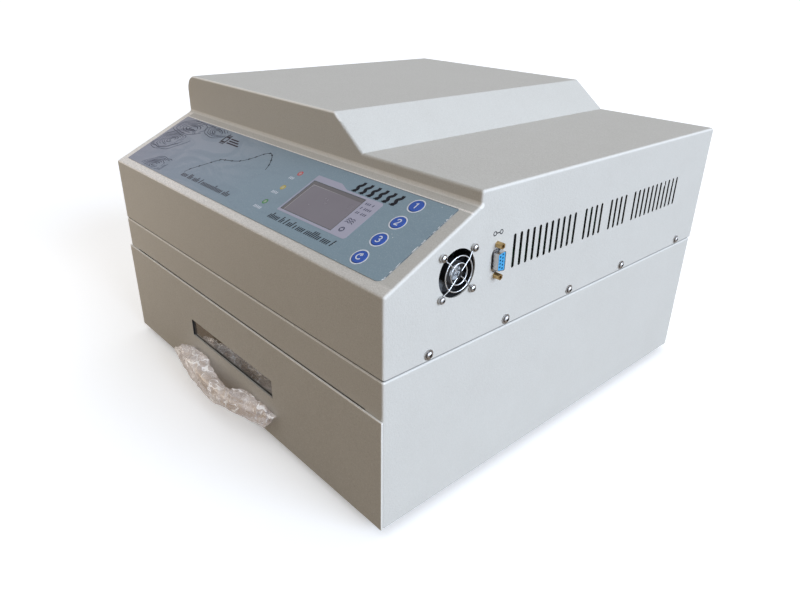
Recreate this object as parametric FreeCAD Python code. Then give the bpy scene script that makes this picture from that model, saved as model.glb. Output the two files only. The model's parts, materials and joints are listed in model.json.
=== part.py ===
"""Bench-top drawer reflow oven: a sheet-metal base, a stepped top cover that carries the controls, and a heated drawer.

Frame, in millimetres: +Z up, -Y the front with the drawer, +X the side with the cooling fan.
The origin is under the middle of the whole object, on the surface that its feet stand on.
Each function below builds one group of parts and puts them in PARTS, by node name.
"""

import FreeCAD
import Part
import math
import os

Vec = FreeCAD.Vector
X = Vec(1, 0, 0)
Y = Vec(0, 1, 0)
Z = Vec(0, 0, 1)
PARTS = {}

# ---------------------------------------------------------------- driving dimensions
width = 450.0
depth = 448.0
front_y = -211.0
rear_y = front_y + depth
side_x = width / 2
sheet = 1.2
bend = 2.4                 # outside radius of a folded edge
foot_height = 8.0
floor_z = foot_height      # underside of the base case

drawer_top_z = floor_z + 103.0
seam_z = floor_z + 137.0
seam_gap = 1.2
fold_z = floor_z + 201.5   # top of the upright front face
slope_top_z = floor_z + 245.5
deck_z = floor_z + 256.5   # low part of the roof
hump_z = floor_z + 285.0   # raised part of the roof
riser_y = front_y + 91.0
hump_round = 17.0
flank_top_x = 52.5
flank_foot_x = 90.5

opening_half = 204.0       # drawer opening in the base case
opening_low_z = floor_z + 6.0
opening_high_z = drawer_top_z + 0.9
lip = 10.0                 # inward flange round the top of the base
upstand = 12.0             # base tabs that stand inside the cover

screw_row_y = [42.9, 129.4, 216.6, 302.8, 412.7]   # cover screws, measured back from the front
screw_row_z = seam_z + 5.8

fan_size = 40.0
fan_pitch = 32.0
fan_y = front_y + 68.8
fan_z = floor_z + 200.0
com_y = front_y + 111.2
com_z = floor_z + 199.2
jackscrew_pitch = 24.99

vent_pitch = 8.0
vent_width = 3.2
vent_length = 28.3
vent_first_y = front_y + 131.8
vent_z = floor_z + 201.2
vent_groups = [11, 4, 4, 11]

front_mid_x = -3.0         # middle of the drawer's window and handle
window_width = 154.0
window_low_z = floor_z + 44.8
window_height = 19.0
plate = 1.5
running_gap = 0.3
plate_back_y = front_y - running_gap
plate_front_y = plate_back_y - plate
drawer_travel = 300.0

handle_z = floor_z + 23.0
handle_half = 66.0
handle_reach = 22.0
handle_deep = 8.0
handle_tall = 12.0
film_flare = 20.0          # how far the wrapping spreads beyond each foot of the handle

overlay_left_x = -212.5
overlay_right_x = 211.5
overlay_low = 9.0          # distance up the slope from the fold
overlay_high = 91.0
overlay_thick = 0.5
lcd_left_x = 61.5
lcd_width = 69.5
lcd_low = 30.5
lcd_height = 39.0
key_x = 177.4
key_pitch = 20.0
key_first = 20.4
key_radius = 6.0
key_travel = 0.5
key_proud = 0.4            # how far a key stands above the overlay
led_x = 38.4
led_first = 30.2
led_pitch = 20.4
led_radius = 3.0

tray_half = 184.0
tray_low_z = floor_z + 12.0
tray_high_z = floor_z + 72.0
tray_back_y = 152.0
tray_sheet = 1.0
grid_bar_z = floor_z + 51.0
slide_z = floor_z + 39.5
slide_length = 350.0

hood_half = 182.0
hood_front_y = front_y + 12.0
hood_back_y = 165.0
hood_low_z = tray_high_z + 1.6
hood_sheet = 1.0
deck_plate_top = seam_z - seam_gap / 2 - sheet
deck_plate = 1.2
tube_z = floor_z + 100.0
tube_radius = 5.5
blower_y = -15.0

exhaust_size = 80.0
exhaust_pitch = 71.5
exhaust_x = -95.0
exhaust_z = floor_z + 212.0
inlet_x = 165.0
inlet_z = floor_z + 95.0
switch_x = 110.0


# ---------------------------------------------------------------- small helpers
def block(x0, x1, y0, y1, z0, z1):
    return Part.makeBox(x1 - x0, y1 - y0, z1 - z0, Vec(x0, y0, z0))


def rod(start, direction, radius, length):
    return Part.makeCylinder(radius, length, start, direction)


def prism(points, along):
    """A closed outline of points, extruded by the vector along."""
    return Part.Face(Part.makePolygon(points + [points[0]])).extrude(along)


def fused(shapes):
    return shapes[0].multiFuse(shapes[1:]).removeSplitter()


def cut_all(shape, tools):
    return shape.cut(Part.makeCompound(tools))


def group(shapes):
    return Part.makeCompound(shapes)


def rounded(shape, radius, wanted):
    """Fillets the edges whose middle point and direction satisfy wanted(point, direction)."""
    edges = []
    for edge in shape.Edges:
        middle = edge.valueAt((edge.FirstParameter + edge.LastParameter) / 2)
        direction = edge.tangentAt((edge.FirstParameter + edge.LastParameter) / 2)
        if wanted(middle, direction):
            edges.append(edge)
    return shape.makeFillet(radius, edges)


def near(a, b, within=0.01):
    return abs(a - b) < within


def slot(centre, along, across, through, length, thickness, reach):
    """A round-ended slot cutter: length along, thickness across, reach through, about centre."""
    straight = length / 2 - thickness / 2
    start = centre - through * (reach / 2)
    corners = []
    for s, w in ((-1, -1), (1, -1), (1, 1), (-1, 1)):
        corners.append(start + along * (s * straight) + across * (w * thickness / 2))
    pieces = [prism(corners, through * reach)]
    for s in (-1, 1):
        pieces.append(rod(start + along * (s * straight), through, thickness / 2, reach))
    return fused(pieces)


def ring_wire(centre, axis, radius, wire):
    return Part.makeTorus(radius, wire, centre, axis)


def placed(shape, origin, turn_axis=Z, degrees=0):
    moved = shape.copy()
    moved.Placement = FreeCAD.Placement(origin, FreeCAD.Rotation(turn_axis, degrees))
    return moved


def pan_screw(head_radius, head_height, shank_radius, shank_length, washer_radius=0.0, washer=0.0):
    """A pan-head cross-recess screw on the Z axis: its seat at z=0, head and washer above, shank below."""
    top = head_height + washer
    crown = head_height * 0.34
    arc = Part.Arc(Vec(head_radius, 0, top - crown),
                   Vec(head_radius * 0.62, 0, top - crown * 0.25),
                   Vec(0, 0, top)).toShape()
    corners = [Vec(0, 0, top), Vec(0, 0, -shank_length), Vec(shank_radius, 0, -shank_length), Vec(shank_radius, 0, 0)]
    if washer:
        corners += [Vec(washer_radius, 0, 0), Vec(washer_radius, 0, washer), Vec(head_radius, 0, washer)]
    else:
        corners.append(Vec(head_radius, 0, 0))
    corners.append(Vec(head_radius, 0, top - crown))
    sides = [Part.makeLine(a, b) for a, b in zip(corners, corners[1:])]
    screw = Part.Face(Part.Wire(sides + [arc])).revolve(Vec(0, 0, 0), Z, 360)
    arm = head_radius * 0.55
    web = head_radius * 0.19
    low = washer + head_height * 0.4
    cross = [block(-arm, arm, -web, web, low, top + 1), block(-web, web, -arm, arm, low, top + 1)]
    return Part.Solid(cut_all(Part.Solid(Part.Shell(screw.Faces)), cross).Shells[0])


# ---------------------------------------------------------------- the slope's own axes
slope_angle = math.atan2(slope_top_z - fold_z, riser_y - front_y)
up_slope = Vec(0, math.cos(slope_angle), math.sin(slope_angle))
off_slope = Vec(0, -math.sin(slope_angle), math.cos(slope_angle))
fold = Vec(0, front_y, fold_z)


def on_slope(x, up, off=0.0):
    """The point at x, a distance up the sloped panel from the fold, and off its face."""
    return fold + X * x + up_slope * up + off_slope * off


def slope_block(x0, x1, up0, up1, off0, off1):
    corners = [on_slope(x0, up0, off0), on_slope(x1, up0, off0),
               on_slope(x1, up1, off0), on_slope(x0, up1, off0)]
    return prism(corners, off_slope * (off1 - off0))


def slope_disc(x, up, radius, off0, off1):
    return rod(on_slope(x, up, off0), off_slope, radius, off1 - off0)


# ---------------------------------------------------------------- housing
def base_case():
    top_z = seam_z - seam_gap / 2
    outer = block(-side_x, side_x, front_y, rear_y, floor_z, top_z)
    outer = rounded(outer, bend, lambda p, d: near(abs(d.z), 1))
    outer = rounded(outer, 2.0, lambda p, d: near(p.z, top_z))
    outer = rounded(outer, 1.4, lambda p, d: near(p.z, floor_z))
    inside = block(-side_x + sheet, side_x - sheet, front_y + sheet, rear_y - sheet,
                   floor_z + sheet, top_z - sheet)
    mouth = block(-side_x + lip, side_x - lip, front_y + lip, rear_y - lip, top_z - 2 * sheet, top_z + 1)
    drawer_hole = block(-opening_half, opening_half, front_y - 1, front_y + lip + 8,
                        opening_low_z, opening_high_z)
    inlet_hole = block(inlet_x - 13.8, inlet_x + 13.8, rear_y - 3, rear_y + 1, inlet_z - 10.3, inlet_z + 10.3)
    switch_hole = block(switch_x - 13.7, switch_x + 13.7, rear_y - 3, rear_y + 1,
                        inlet_z - 11.2, inlet_z + 11.2)
    case = cut_all(outer, [inside, mouth, drawer_hole, inlet_hole, switch_hole])
    tab_in = sheet + 0.25
    tabs = block(-side_x + tab_in, side_x - tab_in, front_y + tab_in, rear_y - tab_in,
                 top_z - sheet, top_z + upstand)
    tab_bore = block(-side_x + tab_in + sheet, side_x - tab_in - sheet,
                     front_y + tab_in + sheet, rear_y - tab_in - sheet, top_z - sheet - 1, top_z + upstand + 1)
    case = fused([case, tabs.cut(tab_bore)])
    bores = []
    for back in screw_row_y:
        for side in (-1, 1):
            bores.append(rod(Vec(side * (side_x + 1), front_y + back, screw_row_z), X * -side, 2.1, 6))
    for x, y in foot_places():
        bores.append(rod(Vec(x, y, floor_z - 1), Z, 2.6, 4))
    PARTS["base_case"] = cut_all(case, bores)


def foot_places():
    return [(x, y) for x in (-178, 178) for y in (front_y + 42, rear_y - 42)]


def feet():
    pads = []
    screws = []
    screw = pan_screw(4.0, 2.2, 2.0, 7.0)
    for x, y in foot_places():
        pad = Part.makeCone(9.5, 11.5, foot_height, Vec(x, y, 0), Z)
        recess = rod(Vec(x, y, -1), Z, 5.0, 4.5)
        bore = rod(Vec(x, y, 0), Z, 2.1, foot_height + 1)
        pads.append(cut_all(pad, [recess, bore]))
        screws.append(placed(screw, Vec(x, y, 3.5), X, 180))
    PARTS["rubber_feet"] = group(pads)
    PARTS["foot_screws"] = group(screws)


def cover_outline(inset, low_z):
    """The cover's solid outline, inset by a sheet thickness, reaching down to low_z."""
    s = inset
    tilt = math.tan(slope_angle / 2) * s
    side_view = [Vec(0, front_y + s, low_z), Vec(0, front_y + s, fold_z - tilt),
                 Vec(0, riser_y + s, slope_top_z + s * math.tan(slope_angle) - s / math.cos(slope_angle)),
                 Vec(0, riser_y + s, hump_z - s), Vec(0, rear_y - s, hump_z - s), Vec(0, rear_y - s, low_z)]
    shift = X * (-side_x - 5)
    lengthwise = prism([p + shift for p in side_view], X * (width + 10))
    flank = math.atan2(hump_z - deck_z, flank_foot_x - flank_top_x)
    pull = math.tan(flank / 2) * s
    r = hump_round - s
    left, right, top, deck = -side_x + s, side_x - s, hump_z - s, deck_z - s
    y = front_y - 5
    corner = Vec(left + r * (1 - math.sqrt(0.5)), y, top - r * (1 - math.sqrt(0.5)))
    edges = [
        Part.makeLine(Vec(left, y, low_z), Vec(left, y, top - r)),
        Part.Arc(Vec(left, y, top - r), corner, Vec(left + r, y, top)).toShape(),
        Part.makeLine(Vec(left + r, y, top), Vec(flank_top_x - pull, y, top)),
        Part.makeLine(Vec(flank_top_x - pull, y, top), Vec(flank_foot_x - pull, y, deck)),
        Part.makeLine(Vec(flank_foot_x - pull, y, deck), Vec(right, y, deck)),
        Part.makeLine(Vec(right, y, deck), Vec(right, y, low_z)),
        Part.makeLine(Vec(right, y, low_z), Vec(left, y, low_z))]
    crosswise = Part.Face(Part.Wire(edges)).extrude(Y * (depth + 10))
    return lengthwise.common(crosswise)


def top_cover():
    low_z = seam_z + seam_gap / 2
    outer = cover_outline(0.0, low_z)
    on_riser_foot = lambda p: near(p.y, riser_y) and near(p.z, slope_top_z)
    on_flank_foot = lambda p: near(p.x, flank_foot_x) and near(p.z, deck_z) and p.y > riser_y + 1
    outer = rounded(outer, 3.5, lambda p, d: on_riser_foot(p))
    outer = rounded(outer, bend, lambda p, d: p.z > low_z + 0.1 and not near(p.y, rear_y)
                    and not on_flank_foot(p) and not (riser_y - 3.6 < p.y < riser_y + 0.1
                                                      and p.z < slope_top_z + 3.6))
    hollow = cover_outline(sheet, low_z - 30)
    tools = [hollow]
    middle = Vec(side_x, fan_y, fan_z)
    tools.append(rod(middle - X * 4, X, 18.7, 8))
    for dy, dz in square(fan_pitch):
        tools.append(rod(middle + Vec(-4, dy, dz), X, 1.8, 8))
    tools.append(slot(Vec(side_x, com_y, com_z), Z, Y, X, 20.6, 11.4, 8))
    for s in (-1, 1):
        tools.append(rod(Vec(side_x - 4, com_y, com_z + s * jackscrew_pitch / 2), X, 1.7, 8))
    for y in vent_places():
        tools.append(slot(Vec(side_x, y, vent_z), Z, Y, X, vent_length, vent_width, 8))
    for back in screw_row_y:
        for side in (-1, 1):
            tools.append(rod(Vec(side * (side_x + 1), front_y + back, screw_row_z), X * -side, 2.2, 4))
    tools.append(rod(Vec(exhaust_x, rear_y - 4, exhaust_z), Y, 37.5, 8))
    for dx, dz in square(exhaust_pitch):
        tools.append(rod(Vec(exhaust_x + dx, rear_y - 4, exhaust_z + dz), Y, 2.2, 8))
    for n in range(12):
        tools.append(slot(Vec(112 + n * vent_pitch, rear_y, floor_z + 205), Z, X, Y, 40, vent_width, 8))
    tools.append(slope_block(lcd_left_x, lcd_left_x + lcd_width, lcd_low, lcd_low + lcd_height, -4, 4))
    for n in range(4):
        tools.append(slope_disc(key_x, key_first + n * key_pitch, key_radius + 0.5, -4, 4))
    for n in range(3):
        tools.append(slope_disc(led_x, led_first + n * led_pitch, led_radius + 0.1, -4, 4))
    PARTS["top_cover"] = cut_all(outer, tools)


def square(pitch):
    return [(a * pitch / 2, b * pitch / 2) for a in (-1, 1) for b in (-1, 1)]


def vent_places():
    places = []
    at = vent_first_y
    for count in vent_groups:
        places += [at + n * vent_pitch for n in range(count)]
        at += (count + 1) * vent_pitch
    return places


def cover_screws():
    screw = pan_screw(2.8, 1.9, 1.95, 8.0, 4.3, 0.8)
    screws = []
    for back in screw_row_y:
        for side in (-1, 1):
            place = Vec(side * side_x, front_y + back, screw_row_z)
            screws.append(placed(screw, place, Y, 90 * side))
    PARTS["cover_screws"] = group(screws)


# ---------------------------------------------------------------- control panel on the slope
def control_panel():
    overlay = slope_block(overlay_left_x, overlay_right_x, overlay_low, overlay_high, 0, overlay_thick)
    overlay = rounded(overlay, 6.0, lambda p, d: near(abs(d.dot(off_slope)), 1) and near(p.x, overlay_right_x)
                      and p.z < (fold_z + slope_top_z) / 2)
    overlay = rounded(overlay, 1.2, lambda p, d: near(abs(d.dot(off_slope)), 1) and (p.x < 0 or (
        near(p.x, overlay_right_x) and p.z > (fold_z + slope_top_z) / 2)))
    holes = [slope_block(lcd_left_x, lcd_left_x + lcd_width, lcd_low, lcd_low + lcd_height, -1, 2)]
    for n in range(4):
        holes.append(slope_disc(key_x, key_first + n * key_pitch, key_radius + 0.3, -1, 2))
    for n in range(3):
        holes.append(slope_disc(led_x, led_first + n * led_pitch, led_radius + 0.1, -1, 2))
    PARTS["control_overlay"] = cut_all(overlay, holes)
    PARTS["lcd_window"] = slope_block(lcd_left_x, lcd_left_x + lcd_width, lcd_low, lcd_low + lcd_height,
                                      0.0, overlay_thick - 0.1)
    module_x = lcd_left_x + lcd_width / 2
    module_up = lcd_low + lcd_height / 2
    bezel = slope_block(module_x - 39, module_x + 39, module_up - 26, module_up + 26, -8.0, -1.6)
    recess = slope_block(module_x - 35.4, module_x + 35.4, module_up - 20.2, module_up + 20.2, -2.2, 0)
    card = slope_block(module_x - 46.5, module_x + 46.5, module_up - 33, module_up + 33, -9.6, -8.0)
    PARTS["lcd_module"] = fused([bezel.cut(recess), card])
    for n, name in enumerate(("led_green", "led_amber", "led_red")):
        up = led_first + n * led_pitch
        lens = slope_disc(led_x, up, led_radius, -8.0, overlay_thick)
        collar = slope_disc(led_x, up, led_radius + 0.5, -9.2, -8.0)
        PARTS[name] = fused([lens, collar])
    for n, name in enumerate(("key_cancel", "key_three", "key_two", "key_one")):
        up = key_first + n * key_pitch
        cap = slope_disc(key_x, up, key_radius, -4.0, overlay_thick + key_proud)
        cap = rounded(cap, 0.3, lambda p, d: near((p - fold).dot(off_slope), overlay_thick + key_proud))
        flange = slope_disc(key_x, up, key_radius + 1.6, -3.2, -2.0)
        stem = slope_disc(key_x, up, 2.0, -11.0, -4.0)
        PARTS[name] = fused([cap, flange, stem])


def control_board():
    board_top = -18.0
    board = slope_block(14, 200, 6, 94, board_top - 1.6, board_top)
    chips = [slope_block(20, 34, 60, 74, board_top, board_top + 3),
             slope_block(70, 120, 20, 80, board_top, board_top + 4),
             slope_block(150, 165, 70, 88, board_top, board_top + 8)]
    switches = []
    for n in range(4):
        up = key_first + n * key_pitch
        base = slope_block(key_x - 3, key_x + 3, up - 3, up + 3, board_top, board_top + 3.5)
        plunger = slope_disc(key_x, up, 1.7, board_top + 3.5, -11.0 - key_travel - 0.3)
        switches += [base, plunger]
    PARTS["control_board"] = fused([board] + chips + switches)
    posts = []
    for x in (19, 195):
        for up in (12, 88):
            posts.append(slope_disc(x, up, 2.5, board_top, -sheet))
    for x, y in power_board_posts():
        posts.append(rod(Vec(x, y, deck_plate_top), Z, 3.0, power_board_z - deck_plate_top))
    PARTS["board_standoffs"] = group(posts)


# ---------------------------------------------------------------- right side: cooling fan and data port
def fan_frame(size, pitch, thick, bore, screw_radius):
    """A square axial fan's frame from z=0 to thick, with its hub carried on three struts at the top."""
    half = size / 2
    frame = rounded(block(-half, half, -half, half, 0, thick), size * 0.07, lambda p, d: near(abs(d.z), 1))
    tools = [rod(Vec(0, 0, -1), Z, bore, thick + 2)]
    for dx, dy in square(pitch):
        tools.append(rod(Vec(dx, dy, -1), Z, screw_radius, thick + 2))
    frame = cut_all(frame, tools)
    hub = bore * 0.5
    pieces = [frame, rod(Vec(0, 0, thick - 2.5), Z, hub, 2.5)]
    for n in range(3):
        strut = block(hub - 1, bore + 0.5, -1.2, 1.2, thick - 2.5, thick)
        strut.rotate(Vec(0, 0, 0), Z, 120 * n + 60)
        pieces.append(strut)
    spindle = rod(Vec(0, 0, thick * 0.35), Z, 1.5, thick - 2.5 - thick * 0.35)
    return fused(pieces + [spindle])


def fan_rotor(thick, bore, blades):
    """An axial fan's hub cap and pitched blades, turning on the Z axis inside fan_frame."""
    hub = bore * 0.5
    low = 1.2
    high = thick - 4.0
    cup = rod(Vec(0, 0, low), Z, hub, high - low)
    cup = rounded(cup, 0.8, lambda p, d: near(p.z, low))
    wheel = [cup]
    root = hub - 0.6
    tip = bore - 0.9
    mid = (low + high) / 2
    for n in range(blades):
        section = []
        for radius in (root, tip):
            chord = 0.92 * 2 * math.pi * radius / blades
            pitch_angle = math.radians(48 if radius == root else 30)
            dx = min(chord * math.cos(pitch_angle) / 2, tip * 0.5)
            dz = min(chord * math.sin(pitch_angle) / 2, (high - low) / 2 - 0.6)
            corners = [Vec(radius, -dx, mid - dz), Vec(radius, dx, mid + dz - 0.5),
                       Vec(radius, dx, mid + dz + 0.5), Vec(radius, -dx, mid - dz + 1.0)]
            section.append(Part.makePolygon(corners + [corners[0]]))
        blade = Part.makeLoft(section, True, True)
        blade.rotate(Vec(0, 0, 0), Z, 360.0 * n / blades)
        wheel.append(blade)
    trim = rod(Vec(0, 0, -1), Z, bore - 0.5, thick + 2)
    bore_tool = rod(Vec(0, 0, thick * 0.35 - 0.6), Z, 1.56, thick)
    return fused(wheel).common(trim).cut(bore_tool)


def wire_guard(rings, inner_end, wire, pitch, eye_radius, lift):
    """A chrome finger guard in the XY plane: rings lifted to z=lift, four arms from inner_end to flat screw eyes."""
    pieces = [ring_wire(Vec(0, 0, lift), Z, radius, wire) for radius in rings]
    reach = pitch / math.sqrt(2)
    arm = wire * 0.9
    inner = Vec(inner_end, 0, lift + wire)
    outer = Vec(rings[-1] + wire * 0.5, 0, lift + wire)
    foot = Vec(reach - eye_radius - wire * 0.1, 0, wire)
    for n in range(4):
        eye = ring_wire(Vec(reach, 0, wire), Z, eye_radius, wire)
        level = rod(inner, X, arm, outer.x - inner.x)
        ramp = rod(outer, foot - outer, arm, (foot - outer).Length)
        knee = Part.makeSphere(arm * 1.02, outer)
        for piece in (eye, level, ramp, knee):
            piece.rotate(Vec(0, 0, 0), Z, 90 * n + 45)
            pieces.append(piece)
    return fused(pieces)


def facing(shape, origin, outward):
    """Turns a shape built along +Z so that +Z points outward (X or Y), and moves it to origin."""
    turned = shape.copy()
    if outward == X:
        turned.rotate(Vec(0, 0, 0), Y, 90)
    else:
        turned.rotate(Vec(0, 0, 0), X, -90)
    turned.translate(origin)
    return turned


def flipped(shape):
    turned = shape.copy()
    turned.rotate(Vec(0, 0, 0), X, 180)
    return turned


def cooling_fan():
    inside = Vec(side_x - sheet, fan_y, fan_z)
    outside = Vec(side_x, fan_y, fan_z)
    thick = 20.0
    PARTS["cooling_fan_frame"] = facing(flipped(fan_frame(fan_size, fan_pitch, thick, 18.6, 1.8)), inside, X)
    PARTS["cooling_fan_rotor"] = facing(flipped(fan_rotor(thick, 18.6, 7)), inside, X)
    PARTS["cooling_fan_guard"] = facing(wire_guard([8.3, 13.7], 3.0, 0.5, fan_pitch, 2.2, 1.6), outside, X)
    screw = pan_screw(2.3, 1.6, 1.45, 12.0, 3.1, 0.6)
    screws = []
    for dy, dz in square(fan_pitch):
        seat = outside + Vec(1.3, dy, dz)
        screws.append(placed(screw, seat, Y, 90))
    PARTS["cooling_fan_screws"] = group(screws)


def d_outline(tall, wide, taper, x):
    """The outline of a D connector's shell: tall along Z, its narrow side facing -Y."""
    return [Vec(x, com_y + wide / 2, com_z - tall / 2), Vec(x, com_y + wide / 2, com_z + tall / 2),
            Vec(x, com_y - wide / 2, com_z + tall / 2 - taper), Vec(x, com_y - wide / 2, com_z - tall / 2 + taper)]


def com_port():
    back = side_x - sheet
    mouth = side_x + 5.6
    flange = block(back - 0.8, back, com_y - 6.25, com_y + 6.25, com_z - 15.4, com_z + 15.4)
    tube = prism(d_outline(16.3, 8.4, 1.4, back - 0.8), X * (mouth - back + 0.8))
    tube = rounded(tube, 1.3, lambda p, d: near(abs(d.x), 1))
    bore = prism(d_outline(15.5, 7.6, 1.3, back - 2), X * (mouth - back + 4))
    bore = rounded(bore, 1.0, lambda p, d: near(abs(d.x), 1))
    screw_holes = [rod(Vec(back - 2, com_y, com_z + s * jackscrew_pitch / 2), X, 1.6, 4) for s in (-1, 1)]
    PARTS["com_shell"] = cut_all(fused([flange, tube]), [bore] + screw_holes)
    plug = prism(d_outline(15.3, 7.4, 1.3, back - 10), X * (mouth - back + 9.6))
    plug = rounded(plug, 0.9, lambda p, d: near(abs(d.x), 1))
    contacts = []
    for row, count in ((1.4, 5), (-1.4, 4)):
        for n in range(count):
            z = com_z + (n - (count - 1) / 2) * 2.77
            contacts.append(rod(Vec(mouth - 5, com_y + row, z), X, 0.78, 8))
    PARTS["com_insert"] = cut_all(plug, contacts)
    jacks = []
    for s in (-1, 1):
        z = com_z + s * jackscrew_pitch / 2
        points = []
        for n in range(6):
            turn = math.radians(60 * n + 30)
            points.append(Vec(side_x, com_y + 2.75 * math.cos(turn), z + 2.75 * math.sin(turn)))
        head = prism(points, X * 5.6)
        stud = rod(Vec(side_x - 7, com_y, z), X, 1.42, 7)
        thread = rod(Vec(side_x + 0.6, com_y, z), X, 1.2, 6)
        jacks.append(fused([head, stud]).cut(thread))
    PARTS["com_jackscrews"] = group(jacks)


# ---------------------------------------------------------------- rear: exhaust fan, mains inlet, switch
def exhaust_fan():
    inside = Vec(exhaust_x, rear_y - sheet, exhaust_z)
    outside = Vec(exhaust_x, rear_y, exhaust_z)
    thick = 25.0
    PARTS["exhaust_fan_frame"] = facing(flipped(fan_frame(exhaust_size, exhaust_pitch, thick, 37.5, 2.2)),
                                        inside, Y)
    PARTS["exhaust_fan_rotor"] = facing(flipped(fan_rotor(thick, 37.5, 7)), inside, Y)
    guard = wire_guard([12.0, 20.0, 28.0, 35.5], 11.6, 0.8, exhaust_pitch, 3.0, 1.8)
    PARTS["exhaust_fan_guard"] = facing(guard, outside, Y)
    screw = pan_screw(3.2, 2.2, 1.9, 14.0, 4.2, 0.8)
    screws = []
    for dx, dz in square(exhaust_pitch):
        screws.append(placed(screw, outside + Vec(dx, 1.9, dz), X, -90))
    PARTS["exhaust_fan_screws"] = group(screws)


def mains_inlet():
    face = rear_y
    flange = block(inlet_x - 25, inlet_x + 25, face, face + 2.6, inlet_z - 12, inlet_z + 12)
    flange = rounded(flange, 6.0, lambda p, d: near(abs(d.y), 1))
    barrel = block(inlet_x - 13.5, inlet_x + 13.5, face - 22, face, inlet_z - 10, inlet_z + 10)
    cavity_points = [Vec(inlet_x - 12, face - 16, inlet_z - 8.2), Vec(inlet_x + 12, face - 16, inlet_z - 8.2),
                     Vec(inlet_x + 12, face - 16, inlet_z + 4.2), Vec(inlet_x + 8, face - 16, inlet_z + 8.2),
                     Vec(inlet_x - 8, face - 16, inlet_z + 8.2), Vec(inlet_x - 12, face - 16, inlet_z + 4.2)]
    cavity = prism(cavity_points, Y * 20)
    pins = []
    slots = []
    for dx, dz in ((-7, -4.0), (7, -4.0), (0, 3.6)):
        pin = block(inlet_x + dx - 1.0, inlet_x + dx + 1.0, face - 30, face - 3,
                    inlet_z + dz - 2.0, inlet_z + dz + 2.0)
        pins.append(pin)
        slots.append(pin)
    ears = [rod(Vec(inlet_x + s * 20, face - 1, inlet_z), Y, 1.7, 5) for s in (-1, 1)]
    PARTS["mains_inlet"] = cut_all(fused([flange, barrel]), [cavity] + slots + ears)
    PARTS["inlet_pins"] = group(pins)


rocker_tilt = 11.0
rocker_pivot = Vec(switch_x, rear_y - 2.0, inlet_z)


def power_switch():
    face = rear_y
    bezel = block(switch_x - 15.5, switch_x + 15.5, face, face + 2.2, inlet_z - 13, inlet_z + 13)
    bezel = rounded(bezel, 1.2, lambda p, d: near(p.y, face + 2.2))
    body = block(switch_x - 13.4, switch_x + 13.4, face - 20, face, inlet_z - 11, inlet_z + 11)
    pocket = block(switch_x - 10.5, switch_x + 10.5, face - 14, face + 4, inlet_z - 9.6, inlet_z + 9.6)
    PARTS["power_switch_body"] = fused([bezel, body]).cut(pocket)
    points = [(-8.4, face - 3.0), (-8.4, face + 3.6), (0.0, face + 1.8), (8.4, face + 3.6), (8.4, face - 3.0),
              (3.0, face - 9.0), (-3.0, face - 9.0)]
    outline = [Vec(switch_x - 10.1, y, inlet_z + dz) for dz, y in points]
    rocker = prism(outline, X * 20.2)
    rocker = rounded(rocker, 0.8, lambda p, d: near(abs(d.x), 1) and p.y > face + 3)
    rocker.rotate(rocker_pivot, X, rocker_tilt)
    PARTS["power_rocker"] = rocker


# ---------------------------------------------------------------- heated chamber over the drawer
def chamber():
    top = deck_plate_top - deck_plate
    plate_block = block(-side_x + 3, side_x - 3, front_y + 3, rear_y - 3, top, deck_plate_top)
    shaft_hole = rod(Vec(0, blower_y, top - 5), Z, 6.0, 12)
    PARTS["chassis_deck"] = plate_block.cut(shaft_hole)
    outer = block(-hood_half, hood_half, hood_front_y, hood_back_y, hood_low_z, top)
    inner = block(-hood_half + hood_sheet, hood_half - hood_sheet, hood_front_y + hood_sheet,
                  hood_back_y - hood_sheet, hood_low_z - 1, top - hood_sheet)
    probe_hole = rod(Vec(60, hood_back_y - 4, tube_z - 10), Y, 2.2, 8)
    PARTS["chamber_hood"] = cut_all(outer, [inner, shaft_hole, probe_hole])
    probe = fused([rod(Vec(60, 95, tube_z - 10), Y, 1.5, hood_back_y - 95 + 14),
                   rod(Vec(60, hood_back_y, tube_z - 10), Y, 4.0, 8)])
    PARTS["thermocouple"] = probe

    slab = 15.0
    top_slab = block(-hood_half - slab, hood_half + slab, hood_front_y, hood_back_y + slab,
                     deck_plate_top, deck_plate_top + slab)
    notches = [rod(Vec(0, blower_y, deck_plate_top - 1), Z, 12.0, slab + 2)]
    for x, y in power_board_posts():
        notches.append(rod(Vec(x, y, deck_plate_top - 1), Z, 6.0, slab + 2))
    for x, y in motor_legs():
        notches.append(block(x - 9, x + 9, y - 9, y + 9, deck_plate_top - 1, deck_plate_top + slab + 1))
    slabs = [cut_all(top_slab, notches)]
    for side in (-1, 1):
        near_x = side * hood_half
        far_x = side * (hood_half + slab)
        slabs.append(block(min(near_x, far_x), max(near_x, far_x), hood_front_y, hood_back_y, hood_low_z, top))
    back_slab = block(-hood_half - slab, hood_half + slab, hood_back_y, hood_back_y + slab, hood_low_z, top)
    slabs.append(back_slab.cut(rod(Vec(60, hood_back_y - 1, tube_z - 10), Y, 4.2, slab + 2)))
    PARTS["hood_insulation"] = group(slabs)


def tube_rows():
    return [blower_y + n * 76 for n in (-2, -1, 0, 1, 2)]


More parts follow.
